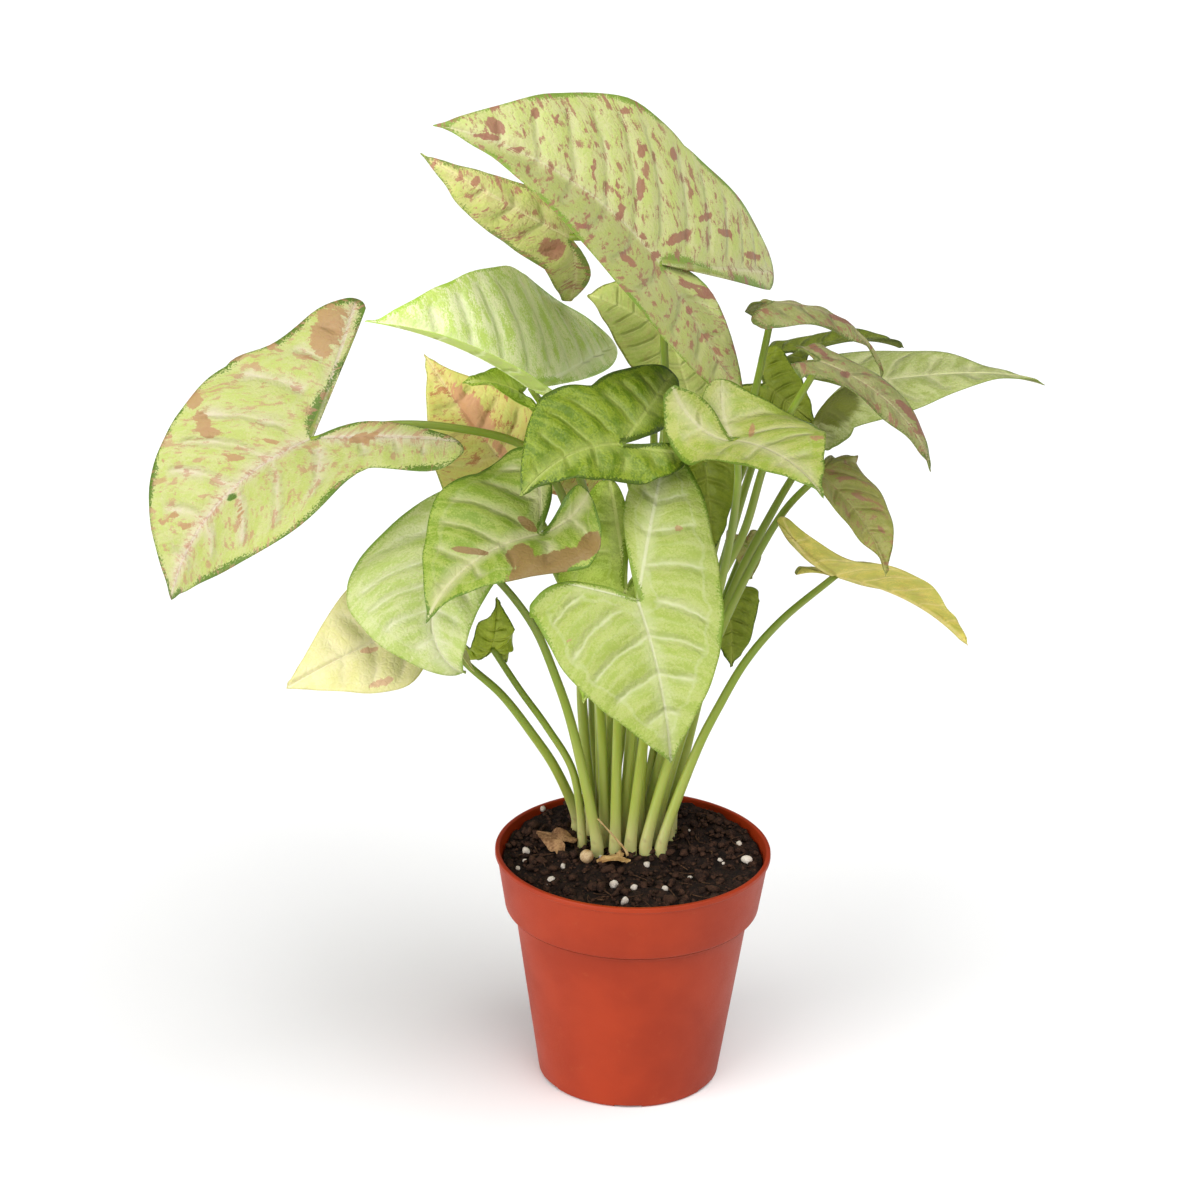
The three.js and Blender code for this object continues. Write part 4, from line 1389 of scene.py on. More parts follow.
def tube(path: np.ndarray, radius: Callable[[np.ndarray, np.ndarray], np.ndarray], sides: int,
         ground: float, material: int = 0) -> Surface:
    """Carry a round section along a path and close both ends.

    Args:
        path: The middle of the section at each step.
        radius: The radius over the share of the length and the height over the ground.
        sides: Number of sides.
        ground: Height of the ground at the foot.
        material: Number of the material.

    Returns:
        The surface. Its place values are the share of the length, 0 and the nearness to the ground.
    """
    gone = np.concatenate([[0], np.cumsum(np.linalg.norm(np.diff(path, axis=0), axis=1))])
    share = gone / gone[-1]
    height = np.maximum(path[:, 2] - ground, 0)
    ahead = unit(np.gradient(path, axis=0))
    one = unit(np.cross(ahead, np.array([0.0, 1.0, 0.02])))
    two = np.cross(ahead, one)
    turn = even_turns(sides)
    groove = 1 - GROOVE_DEPTH * bell(turn - np.pi / 2, GROOVE_REACH)
    r = radius(share, height)[:, None] * groove
    rings = (path[:, None] + one[:, None] * (r * np.cos(turn))[..., None]
             + two[:, None] * (r * np.sin(turn))[..., None])
    points, quads = close_rings(rings, path[0], path[-1])
    flat = np.stack([np.tile(turn * FLAT_ROUND, len(path)), np.repeat(gone, sides)], -1) / FLAT_UNIT
    near = np.repeat(bell(height, GROUND_REACH), sides)
    place = np.stack([np.repeat(share, sides), np.zeros(len(near)), near], -1)
    return Surface(points, quads, material, np.concatenate([flat, flat[:1], flat[-1:]]),
                   None, np.concatenate([place, place[:1], place[-1:]]))


LEAVES = (
    Blade("leaf_top", at=(5, -10, 337), tip=(-77, -40, 396), faces=(-0.1, -0.7, 0.7), width=110,
        lobes=(54, 82), lobe_drop=(-8, 15), fold=(25, 2), curl=(10, 20), share=(0.6, 0.98),
        full=(0, 0.4), spread=(0.3, 0.17), belly=(0.7, -0.1), bow=5, veins=6.5, foot=(2, 6),
        stem=((5, 8, 197), (9, 5, 253), (8, 4, 292), (6, -3, 321))),
    Blade("leaf_top_back", at=(-28, 22, 337), tip=(-84, 10, 372), faces=(-0.2, -0.9, 0.3), width=36,
        lobes=(31, 22), lobe_drop=(20, 15), fold=(-5, -30), curl=(25, 20), share=(0.9, 0.8),
        full=(1, 0), spread=(1, 0), belly=(0.3, 0), foot=(-9, 26),
        stem=((3, 33, 204), (9, 31, 261), (9, 31, 306), (-2, 27, 334))),
    Blade("leaf_upper_left", at=(-41, -22, 292), tip=(-100, -62, 330), faces=(-0.1, -0.7, 0.7),
        width=84, lobes=(8, 74), lobe_drop=(15, 0), fold=(66, 8), curl=(10, 25), share=(0.5, 1.1),
        waist=(0, -0.12), spread=(0.1, 0.5), veins=4.7, foot=(-9, 13),
        stem=((-12, 6, 190), (-20, -4, 242), (-32, -13, 274))),
    Blade("leaf_left_big", at=(-123, -10, 267), tip=(-175, -30, 209), faces=(-0.2, -0.95, 0.3),
        width=84, lobes=(23, 57), fold=(45, 0), curl=(20, 15), share=(1.1, 0.85), full=(1, 2),
        waist=(0.25, -0.28), spread=(0.5, 0.12), belly=(0.2, -0.1), bow=9, foot=(-16, 13),
        stem=((-21, 24, 147), (-22, 14, 194), (-29, 4, 239), (-43, 0, 261), (-72, -6, 271),
        (-98, -8, 272))),
    Blade("leaf_rose", at=(-47, 10, 245), tip=(-83, 20, 291), faces=(0, -1, 0.1), width=56,
        lobes=(24, 24), foot=(-17, 26), stem=((-18, 28, 164), (-30, 20, 208))),
    Blade("leaf_centre", at=(-8, -50, 281), tip=(-44, -80, 271), faces=(0, -0.7, 0.7), width=62,
        lobes=(24, 47), lobe_drop=(-20, 5), fold=(0, 26), curl=(15, 30), share=(0.55, 0.92),
        full=(0, 0.8), waist=(0, 0.12), belly=(0, 0.2), bow=4, veins=4, foot=(-4, 7),
        stem=((0, -6, 198), (-2, -22, 245))),
    Blade("leaf_right_centre", at=(33, -52, 284), tip=(63, -102, 281), faces=(0.15, -0.3, 1),
        width=60, lobes=(34, 32), lobe_drop=(-80, -100), fold=(20, -5), share=(1, 0.6),
        spread=(-0.3, 0), belly=(0.1, 0.35), veins=3.5, foot=(5, 0),
        stem=((13, 2, 132), (22, -8, 171), (31, -20, 218), (35, -38, 261))),
    Blade("leaf_left_low", at=(-37, -54, 247), tip=(-77, -88, 225), faces=(-0.2, -0.6, 0.8),
        width=74, lobes=(29, 27), lobe_drop=(-110, -40), share=(0.7, 1), spread=(-0.35, 0.1),
        belly=(0.15, 0), bow=5, veins=4, foot=(-11, 6),
        stem=((-13, 4, 142), (-16, -17, 175), (-25, -40, 213))),
    Blade("leaf_front", at=(-1, -72, 229), tip=(12, -95, 175), faces=(0, -0.9, 0.45), width=74,
        lobes=(58, 10), share=(0.86, 1.08), full=(0, 0.3), spread=(0.05, 0), belly=(0.2, 0), bow=-2,
        veins=4.4, foot=(-1, 0), stem=((2, -2, 130), (4, -24, 167), (3, -52, 205))),
    Blade("leaf_front_back", at=(-5, -50, 225), tip=(-20, -60, 183), faces=(0, -0.9, 0.4), width=54,
        lobes=(20, 36), share=(0.3, 1), veins=3.5, foot=(-7, 1),
        stem=((-7, 0, 128), (-7, -12, 167), (-7, -34, 204))),
    Blade("leaf_pale_left", at=(-65, -30, 230), tip=(-64, -46, 189), faces=(-0.3, -0.9, 0.2),
        width=84, lobes=(36, 34), arch=20, hook=90, share=(0.55, 0.94), full=(1.3, 1),
        spread=(-0.2, -0.75), bow=10, veins=4.5, foot=(-14, 0),
        stem=((-24, 0, 145), (-31, -8, 171), (-40, -16, 196), (-54, -24, 218))),
    Blade("leaf_pale_low", at=(-78, -15, 198), tip=(-132, -35, 176), faces=(0, -0.8, 0.6), width=60,
        lobes=(4, 24), share=(0.9, 1), full=(0.8, 0), waist=(0.6, 0), foot=(-22, 21),
        stem=((-31, 8, 126), (-40, 2, 143), (-52, -4, 162), (-66, -10, 178))),
    Blade("leaf_curl_left", at=(-56, 0, 179), tip=(-54, -3, 202), faces=(0.3, -0.8, 0.6), width=22,
        lobes=(6, 6), fold=(40, 40), curl=(110, 110), wave=(2.4, 4, 0), plain=True, foot=(-20, 6),
        stem=((-24, 5, 126), (-34, 3, 145), (-45, 1, 162))),
    Blade("leaf_small_dark", at=(-46, -6, 285), tip=(-67, -20, 293), faces=(0, -0.4, 0.9), width=20,
        lobes=(6, 6), plain=True, foot=(-13, 19),
        stem=((-17, 14, 195), (-23, 4, 247), (-36, -2, 272))),
    Blade("leaf_mid_back", at=(8, 56, 290), tip=(-22, 62, 302), faces=(0, -0.6, 0.8), width=50,
        lobes=(12, 12), full=(0, 0.8), foot=(-3, 30), stem=((7, 44, 201), (5, 49, 255))),
    Blade("leaf_inner", at=(18, 22, 275), tip=(8, 28, 305), faces=(0, -0.9, 0.3), width=26,
        lobes=(10, 10), plain=True, foot=(-3, 19), stem=((12, 26, 207), (18, 24, 253))),
    Blade("leaf_right_upper", at=(47, 4, 319), tip=(89, 2, 290), faces=(0.1, 0.1, 1), width=36,
        lobes=(12, 10), arch=60, hook=30, lobe_drop=(40, 40), fold=(0, 0), curl=(40, 40),
        foot=(15, 20), stem=((24, 28, 183), (32, 22, 229), (42, 12, 280))),
    Blade("leaf_right_back", at=(60, 46, 286), tip=(101, 54, 286), faces=(0, 0.15, 1), width=36,
        lobes=(10, 10), foot=(4, 28), stem=((30, 42, 187), (42, 45, 234), (54, 46, 274))),
    Blade("leaf_sickle", at=(63, -31, 308), tip=(105, -45, 271), faces=(0.2, -0.1, 1), width=27,
        lobes=(12, 7), arch=50, fold=(5, 5), curl=(20, 20), share=(1.3, 1), full=(0.6, 1),
        foot=(4, 12), stem=((26, 3, 196), (39, -10, 233), (47, -19, 268))),
    Blade("leaf_right_long", at=(76, 12, 284), tip=(152, 18, 284), faces=(0, -0.15, 1), width=54,
        lobes=(14, 18), arch=13, hook=20, lobe_drop=(15, 50), fold=(12, 10), curl=(35, 30),
        spread=(0.1, 0.4), wave=(2.6, 1.5, 0), foot=(14, 13),
        stem=((34, 20, 190), (52, 21, 232), (68, 16, 264))),
    Blade("leaf_right_droop", at=(66, -12, 258), tip=(91, -38, 227), faces=(0.8, -0.5, 0.5),
        width=50, lobes=(5, 4), waist=(0, 0.3), foot=(8, 7),
        stem=((23, 8, 158), (37, 2, 201), (54, -6, 240))),
    Blade("leaf_yellow", at=(74, -2, 213), tip=(128, 13, 179), faces=(0.1, 0.75, 0.65), width=54,
        lobes=(10, 36), lobe_drop=(15, -50), fold=(40, 5), share=(0.5, 0.9), full=(0, 0.4),
        spread=(0.1, -0.2), belly=(0, -0.25), foot=(11, 1),
        stem=((24, 5, 136), (32, 4, 155), (42, 3, 175), (55, 1, 193))),
    Blade("leaf_right_shadow", at=(46, 25, 280), tip=(66, 23, 265), faces=(0, -0.9, 0.3), width=28,
        lobes=(8, 8), plain=True, foot=(3, 20), stem=((22, 28, 199), (40, 24, 248))),
    Blade("leaf_stem_dark", at=(24, 11, 254), tip=(28, 0, 219), faces=(0, -0.9, 0.3), width=27,
        lobes=(8, 8), plain=True, foot=(9, 18), stem=((13, 21, 149), (17, 15, 193), (20, 10, 228))),
    Blade("leaf_curl_dark", at=(36, 37, 184), tip=(37, 29, 161), faces=(0.3, -0.9, 0.3), width=24,
        lobes=(8, 8), plain=True, foot=(13, 26), stem=((21, 32, 135), (30, 36, 165))),
    Blade("leaf_curl_olive", at=(42, 52, 205), tip=(44, 45, 192), faces=(0.3, -0.9, 0.3), width=15,
        lobes=(5, 5), plain=True, foot=(9, 32), stem=((20, 42, 140), (34, 51, 180))),
)

SCRAPS = (
    Blade("dry_leaf", at=(-28, 2, 97.5), tip=(-38, 11, 96.5), faces=(0, -0.4, 1), width=13,
        lobes=(5, 4), fold=(10, 0), curl=(50, 40), wave=(1, 3, 0.6), plain=True),
    Blade("dry_scrap", at=(-5, -7, 95), tip=(-14, -10, 94), faces=(0.2, -0.3, 1), width=8,
        lobes=(3, 3), fold=(30, 0), curl=(40, 40), wave=(0.7, 2, 0), plain=True),
)

DRESSES: dict[str, tuple[Skin, tuple[Spot, ...]]] = {
    "leaf_top": (Skin.FLECKED, (
        Spot(495, 126, 11, 7, -50), Spot(487, 137, 15, 3, -8), Spot(494, 108, 6, 5),
        Spot(535, 113, 8, 4.5, 100), Spot(559, 119, 9, 3, 105), Spot(626, 111, 7, 5, -20),
        Spot(642, 150, 9, 5, 75), Spot(674, 154, 7, 4, 100), Spot(640.5, 188, 13, 4.5, 88),
        Spot(621, 212, 13, 5, 65), Spot(594, 165, 8, 3, 85), Spot(618, 182, 12, 2.5, 85),
        Spot(678, 238, 16, 5, 27), Spot(706, 217, 9, 4, 25), Spot(725, 233, 9, 4, -20),
        Spot(752, 256, 9, 4, -20), Spot(643, 235, 5, 4, 90), Spot(579, 226, 8, 5, 10),
        Spot(628, 260, 11, 4, -45), Spot(655, 256, 6, 5), Spot(704, 292, 26, 4.5, -24),
        Spot(689, 310, 6, 4, 90), Spot(731, 325, 20, 3, -58), Spot(738, 354, 14, 3.5, -60),
        Spot(517, 150, 11, 3, 5),
    )),
    "leaf_top_back": (Skin.GREYED, (
        Spot(552, 250, 13, 11), Spot(475.7, 182, 7, 4, 60), Spot(505, 218.6, 4, 3.5),
        Spot(443, 201, 5, 3, -40),
    )),
    "leaf_upper_left": (Skin.PALE, ()),
    "leaf_left_big": (Skin.SPRING, (
        Spot(327, 329, 29, 16, 65), Spot(193.6, 400.5, 10, 8), Spot(201.6, 419, 12, 7, -50),
        Spot(209.6, 433, 12, 5), Spot(235, 458, 10, 4.5), Spot(271, 441, 10, 2.5, -15),
        Spot(365, 438, 15, 5, 10), Spot(175, 514, 5, 4), Spot(164, 521, 6, 4),
        Spot(185.5, 526.5, 6, 4), Spot(240.5, 513, 14, 2.5, 92), Spot(169.5, 435, 4, 4),
        Spot(164, 462, 3.5, 3.5), Spot(271, 347, 4, 4), Spot(232, 497, 7, 4, 30, dark=True),
    )),
    "leaf_rose": (Skin.ROSY, (Spot(472, 412, 32, 11, -55), Spot(505, 455, 20, 5, -50))),
    "leaf_centre": (Skin.GREEN, ()),
    "leaf_right_centre": (Skin.LIME, (Spot(752, 430, 7, 3, 80), Spot(815.5, 438, 10, 2.5, 10))),
    "leaf_left_low": (Skin.BANDED, (
        Spot(545, 567, 44, 13, 22), Spot(590, 545, 15, 11, 60), Spot(520, 556, 14, 12),
        Spot(471, 551, 20, 3.5, -8), Spot(527.5, 524, 12, 5, -40),
    )),
    "leaf_front": (Skin.VEINED, (Spot(567.7, 639, 5, 3, 20), Spot(679, 529, 4, 3))),
    "leaf_front_back": (Skin.SHADED, ()),
    "leaf_pale_left": (Skin.MISTY, ()),
    "leaf_pale_low": (Skin.CREAM, (Spot(369.5, 650, 10, 3, 10), Spot(383, 682, 12, 4, 20))),
    "leaf_curl_left": (Skin.CURL, ()),
    "leaf_small_dark": (Skin.SHADED, ()),
    "leaf_mid_back": (Skin.SAGE, ()),
    "leaf_inner": (Skin.SAGE, ()),
    "leaf_right_upper": (Skin.TAWNY, (Spot(843.6, 320, 20, 3, -20),)),
    "leaf_right_back": (Skin.DEEP, ()),
    "leaf_sickle": (Skin.SICKLE, (
        Spot(845, 374, 5, 4), Spot(814, 347, 18, 3, -35), Spot(908, 411, 18, 3.5, -45),
        Spot(921, 430, 10, 3, -60),
    )),
    # The dark patch paints the underside of the drooping right lobe, in its colour and with painted
    # shade.
    "leaf_right_long": (Skin.LONG, (Spot(830, 402, 36, 28, 20, dark=True),)),
    "leaf_right_droop": (Skin.OLIVE, (
        Spot(859.7, 497, 10, 2.5, -25), Spot(881, 529, 6, 2, -45), Spot(846, 478, 12, 2),
    )),
    "leaf_yellow": (Skin.YELLOW, ()),
    "leaf_right_shadow": (Skin.MOSS, ()),
    "leaf_stem_dark": (Skin.MOSS, ()),
    "leaf_curl_dark": (Skin.MOSS, ()),
    "leaf_curl_olive": (Skin.OLIVE, ()),
}


# ---- soil and litter

SOIL_CREST, SOIL_EDGE, SOIL_EDGE_RADIUS = 93.0, 91.3, 50.5
SOIL_SLOPE = 0.08
LUMP_HEIGHT, LUMP_LENGTH, LUMP_DEPTH = 0.6, 4.3, 5.1
HOLLOW_X, HOLLOW_Y, HOLLOW_DEPTH, HOLLOW_RADIUS = 21.0, -9.0, 3.0, 9.0


def soil_height(x: np.ndarray, y: np.ndarray) -> np.ndarray:
    """Give the soil's height.

    It is crest - drop * out^2 + slope * y, with long low lumps that fade toward the rim and a round
    hollow. out is the share of the way from the middle to the soil's edge.

    Args:
        x: Places to the right.
        y: Places to the back.

    Returns:
        The heights in millimetres.
    """
    out = np.minimum(1, np.hypot(x, y) / SOIL_EDGE_RADIUS)
    lumps = LUMP_HEIGHT * np.sin(x / LUMP_LENGTH + 1) * np.cos(y / LUMP_DEPTH) * (1 - out**4)
    hollow = HOLLOW_DEPTH * bell(np.hypot(x - HOLLOW_X, y - HOLLOW_Y), HOLLOW_RADIUS)
    return SOIL_CREST - (SOIL_CREST - SOIL_EDGE) * out**2 + SOIL_SLOPE * y + lumps - hollow


def ball(level: int) -> tuple[np.ndarray, np.ndarray]:
    """Make a round solid of equal triangles: 20 faces, each split in four as often as level says.

    Args:
        level: How often the faces are split.

    Returns:
        Points on the unit ball, and triangles stored as quads.
    """
    long = (1 + math.sqrt(5)) / 2
    points = unit(np.array([
        (-1, long, 0), (1, long, 0), (-1, -long, 0), (1, -long, 0), (0, -1, long), (0, 1, long),
        (0, -1, -long), (0, 1, -long), (long, 0, -1), (long, 0, 1), (-long, 0, -1), (-long, 0, 1),
    ], float))
    faces = np.array([
        (0, 11, 5), (0, 5, 1), (0, 1, 7), (0, 7, 10), (0, 10, 11), (1, 5, 9), (5, 11, 4),
        (11, 10, 2), (10, 7, 6), (7, 1, 8), (3, 9, 4), (3, 4, 2), (3, 2, 6), (3, 6, 8),
        (3, 8, 9), (4, 9, 5), (2, 4, 11), (6, 2, 10), (8, 6, 7), (9, 8, 1),
    ])
    for _ in range(level):
        edges = np.sort(np.concatenate([faces[:, [0, 1]], faces[:, [1, 2]], faces[:, [2, 0]]]), 1)
        pairs, back = np.unique(edges, axis=0, return_inverse=True)
        ab, bc, ca = back.reshape(3, -1) + len(points)
        points = np.concatenate([points, unit(points[pairs].sum(1))])
        a, b, c = faces.T
        split = (a, ab, ca), (ab, b, bc), (ca, bc, c), (ab, bc, ca)
        faces = np.concatenate([np.stack(corners, 1) for corners in split])
    return points, faces[:, [0, 1, 2, 2]]


def random_turns(draw: np.random.Generator, count: int) -> np.ndarray:
    """Draw turning matrices: three random directions made square to each other.

    Args:
        draw: Source of the random values.
        count: Number of matrices.

    Returns:
        The matrices.
    """
    one = unit(draw.normal(size=(count, 3)))
    two = unit(np.cross(one, draw.normal(size=(count, 3))))
    return np.stack([one, two, np.cross(one, two)], 1)


DENT_WAVES = (2.2, 4.6)
FULL_TURN = 6.3
LEAST_STRETCH, MOST_STRETCH = 0.62, 1.15


def rounded_lumps(centres: np.ndarray, sizes: np.ndarray, draw: np.random.Generator, level: int,
                  rough: float, flatten: float = 1.0) -> Surface:
    """Make many rounded lumps: balls stretched by random shares and dented by two waves.

    Args:
        centres: Middle of each lump.
        sizes: Radius of each lump.
        draw: Source of the random values.
        level: Fineness of each ball.
        rough: Depth of the dents as a share of the radius.
        flatten: Share of the height that is kept.

    Returns:
        The lumps, with a random tone of each as the first place value.
    """
    points, faces = ball(level)
    count = len(centres)
    waves = draw.normal(size=(2, count, 1, 3)) * np.array(DENT_WAVES)[:, None, None, None]
    phases = draw.random((2, count, 1)) * FULL_TURN
    dents = 1 + rough * sum(np.sin((points * w).sum(-1) + p) for w, p in zip(waves, phases))
    stretch = draw.uniform(LEAST_STRETCH, MOST_STRETCH, (count, 1, 3))
    shaped = points * stretch * dents[..., None]
    placed = np.einsum("npi,nij->npj", shaped, random_turns(draw, count)) * sizes[:, None, None]
    placed[..., 2] *= flatten
    placed += centres[:, None]
    quads = (faces + np.arange(count)[:, None, None] * len(points)).reshape(-1, 4)
    tone = np.repeat(draw.random(count), len(points))
    return Surface(placed.reshape(-1, 3), quads, place=np.stack([tone, tone * 0, tone * 0], -1))


def scatter(draw: np.random.Generator, count: int, edge: float) -> tuple[np.ndarray, np.ndarray]:
    """Draw places on the soil, spread evenly out to an edge radius."""
    reach, turn = edge * np.sqrt(draw.random(count)), draw.random(count) * 2 * np.pi
    return reach * np.cos(turn), reach * np.sin(turn)


GRAINS = (
    Spot(543, 810, 7, 6), Spot(526, 854, 10, 8), Spot(518, 869, 6, 3), Spot(563, 868, 6, 5),
    Spot(551, 881, 8, 6), Spot(614, 886, 9, 8), Spot(634, 889, 7, 7), Spot(625, 904, 14, 6),
    Spot(665, 891, 7, 6), Spot(647, 866, 6, 5), Spot(720, 861, 5, 4), Spot(739, 846, 6, 4),
    Spot(747, 862, 13, 7), Spot(600, 858, 4, 4), Spot(690, 878, 5, 4),
)


def grain_seats() -> np.ndarray:
    """Give the places on the soil of the white grains that the front view shows."""
    return np.array([VIEW.seat(g.px, g.py, soil_height) for g in GRAINS])


@dataclass
class Soil:
    """The potting mix: its crumbly surface, loose crumbs, fibres and white grains.

    A layer of the rough surface is a cell size, a seed and a height. A wall point is a radius and
    a height. margins are the distances to the rim of the crumbs, the clods, the fibres and the
    grains.
    """

    radius: float = 50.7
    wall: tuple[Pair, ...] = ((49.4, 80.0), (45.6, 73.0), (44.2, 69.3), (33.9, 4.4), (32.7, 2.9))
    layers: tuple[Triple, ...] = ((9.0, 3, 1.6), (3.1, 4, 1.5), (1.3, 5, 0.7))
    noise_start: float = 200.0
    rings: int = 96
    sides: int = 260
    margins: tuple[float, float, float, float] = (1.2, 4.0, 6.0, 5.0)
    crumb_count: int = 1250
    crumb_logarithm: Pair = (-0.32, 0.45)
    crumb_sizes: Pair = (0.35, 2.0)
    clod_count: int = 90
    clod_sizes: Pair = (1.5, 2.7)
    crumb_rise: Pair = (0.1, 0.75)
    crumb_lift: float = 0.2
    clearance: float = 1.2
    fibre_count: int = 70
    fibre_lengths: Pair = (3, 9)
    fibre_bend: float = 0.35
    fibre_lift: float = 0.9
    small_grains: int = 16
    small_grain_sizes: Pair = (0.5, 1.2)
    grain_swell: float = 1.12
    grain_rise: float = 0.45
    pixels_a_millimetre: float = 2.55

    def rough_height(self, x: np.ndarray, y: np.ndarray) -> np.ndarray:
        """Give the rough soil's height: the soil height plus each layer's noise around zero.

        Args:
            x: Places to the right.
            y: Places to the back.

        Returns:
            The heights in millimetres.
        """
        height = soil_height(x, y)
        for cell, seed, rise in self.layers:
            noise = lattice_noise(x + self.noise_start, y + self.noise_start, cell, seed)
            height = height + rise * (noise - 0.5)
        return height

    def surface(self) -> Surface:
        """Make the closed body: the rough soil on top, then down the pot's wall.

        Returns:
            The surface.
        """
        share = np.sqrt(np.linspace(0, 1, self.rings + 1)[1:])[:, None]
        turn = even_turns(self.sides)
        x, y = self.radius * share * np.cos(turn), self.radius * share * np.sin(turn)
        z = self.rough_height(x, y)
        radii, heights = np.array(self.wall).T
        wall = np.stack([np.outer(radii, np.cos(turn)), np.outer(radii, np.sin(turn)),
                         np.repeat(heights[:, None], self.sides, 1)], -1)
        rings = np.concatenate([np.stack([x, y, z], -1), wall])
        top, bottom = (0, 0, z[0].mean()), (0, 0, heights[-1])
        return Surface(*close_rings(rings, top, bottom, turned=True))

    def crumbs(self) -> Surface:
        """Make the loose crumbs, from dust to clods, and keep them clear of the white grains.

        Returns:
            The surface.
        """
        draw = np.random.default_rng(11)
        x, y = scatter(draw, self.crumb_count, self.radius - self.margins[0])
        size = np.exp(draw.normal(*self.crumb_logarithm, self.crumb_count))
        size = np.clip(size, *self.crumb_sizes)
        clod_x, clod_y = scatter(draw, self.clod_count, self.radius - self.margins[1])
        clod = draw.uniform(*self.clod_sizes, self.clod_count)
        x, y, size = (np.concatenate(v) for v in ((x, clod_x), (y, clod_y), (size, clod)))
        rise = size * draw.uniform(*self.crumb_rise, len(size)) + self.crumb_lift
        centres = np.stack([x, y, soil_height(x, y) + rise], -1)
        seats = grain_seats()
        gap = np.hypot(x[:, None] - seats[:, 0], y[:, None] - seats[:, 1]).min(1)
        clear = gap > size + self.clearance
        return rounded_lumps(centres[clear], size[clear], draw, 1, 0.16, 0.8)

    def fibres(self) -> list[Surface]:
        """Make the short dark fibres: thin bent tubes that lie on the crumbs.

        Returns:
            A surface for each fibre.
        """
        def radius(share: np.ndarray, _height: np.ndarray) -> np.ndarray:
            """Swell from 0.16 mm at the ends to 0.28 mm in the middle."""
            return 0.16 + 0.12 * np.sin(np.pi * share)

        draw = np.random.default_rng(12)
        made = []
        x, y = scatter(draw, self.fibre_count, self.radius - self.margins[2])
        for left, back in zip(x, y):
            turn, long = draw.random() * FULL_TURN, draw.uniform(*self.fibre_lengths)
            bend = draw.normal(0, self.fibre_bend, 2)
            t = np.linspace(-0.5, 0.5, 8)
            across = bend[0] * (t**2 - 0.1) * long
            px = left + np.cos(turn) * t * long - np.sin(turn) * across
            py = back + np.sin(turn) * t * long + np.cos(turn) * across
            pz = soil_height(px, py) + self.fibre_lift + bend[1] * t
            made.append(tube(np.stack([px, py, pz], -1), radius, 6, SOIL_CREST))
        return made

    def grains(self) -> Surface:
        """Seat the white grains that the front view shows, and a few small ones elsewhere.

        Returns:
            The surface.
        """
        draw = np.random.default_rng(13)
        sizes = [math.sqrt(g.long * g.wide) / self.pixels_a_millimetre / 2 for g in GRAINS]
        x, y = scatter(draw, self.small_grains, self.radius - self.margins[3])
        aside = (y > 8) | (np.abs(x) > 30)
        x, y = x[aside], y[aside]
        centres = np.concatenate([grain_seats(), np.stack([x, y, soil_height(x, y)], -1)])
        sizes = np.concatenate([sizes, draw.uniform(*self.small_grain_sizes, len(x))])
        ground = np.maximum(centres[:, 2], self.rough_height(centres[:, 0], centres[:, 1]))
        centres[:, 2] = ground + sizes * self.grain_rise
        return rounded_lumps(centres, sizes * self.grain_swell, draw, 2, 0.1)

    def build(self) -> None:
        """Make the soil's pieces."""
        build_piece("potting_mix", [self.surface()], [Ground.SOIL.value], ("soil",))
        build_piece("soil_crumbs", [self.crumbs()], [Ground.CRUMB.value])
        build_piece("soil_fibres", self.fibres(), [Ground.FIBRE.value])
        build_piece("perlite_grains", [self.grains()], [Ground.PERLITE.value])


@dataclass
class Litter:
    """What lies on the soil: an ochre bead, a straw-coloured root and dry scraps of leaf."""

    bead_radius: float = 2.7
    bead_place: Pair = (-18.0, -7.0)
    bead_lift: float = 0.3
    bead_dent: float = 0.05
    root_radius: float = 0.5
    root: tuple[Triple, ...] = ((-2, -4, 93.8), (-2.5, -4, 96), (-8, -3.8, 103), (-14, -4, 110))

    def bead(self) -> Surface:
        """Make the bead: a ball with shallow dents of noise.

        Returns:
            The surface.
        """
        x, y = self.bead_place
        centre = np.array([x, y, float(soil_height(x, y)) + self.bead_radius + self.bead_lift])
        bead = rounded_lumps(centre[None], np.array([self.bead_radius]),
                             np.random.default_rng(17), 4, 0.03)
        noise = lattice_noise(bead.points[:, 0] * 3 + 90, bead.points[:, 2] * 3, 2.4, 6)
        swell = 1 + self.bead_dent * (noise[:, None] - 0.5)
        bead.points = centre + unit(bead.points - centre) * self.bead_radius * swell
        return bead

    def root_bit(self) -> Surface:
        """Make the root: a thin tube that narrows upward and has small rings.

        Returns:
            The surface.
        """
        def radius(share: np.ndarray, _height: np.ndarray) -> np.ndarray:
            """Narrow from 1.1 to 0.6 of the root's radius, with small rings."""
            return self.root_radius * (1.1 - 0.5 * share + 0.12 * np.sin(23 * share))

        return tube(stem_curve(np.array(self.root, float), 10), radius, 10, SOIL_CREST)

    def build(self) -> None:
        """Make the litter's pieces."""
        build_piece("ochre_bead", [self.bead()], [Ground.BEAD.value], ("bead",))
        build_piece("straw_root", [self.root_bit()], [Ground.ROOT.value], ("root_bit",))
        for blade, ground in zip(SCRAPS, (Ground.DRY, Ground.SCRAP)):
            sheet = BladeSheet(blade, rings=18, columns=32, thickness=0.45, pucker=0.1, keel=0.3,
                               groove=0.1)
            build_piece(blade.name + "_curl", [sheet.surface()], [ground.value],
                        (blade.name,))


# ---- pot

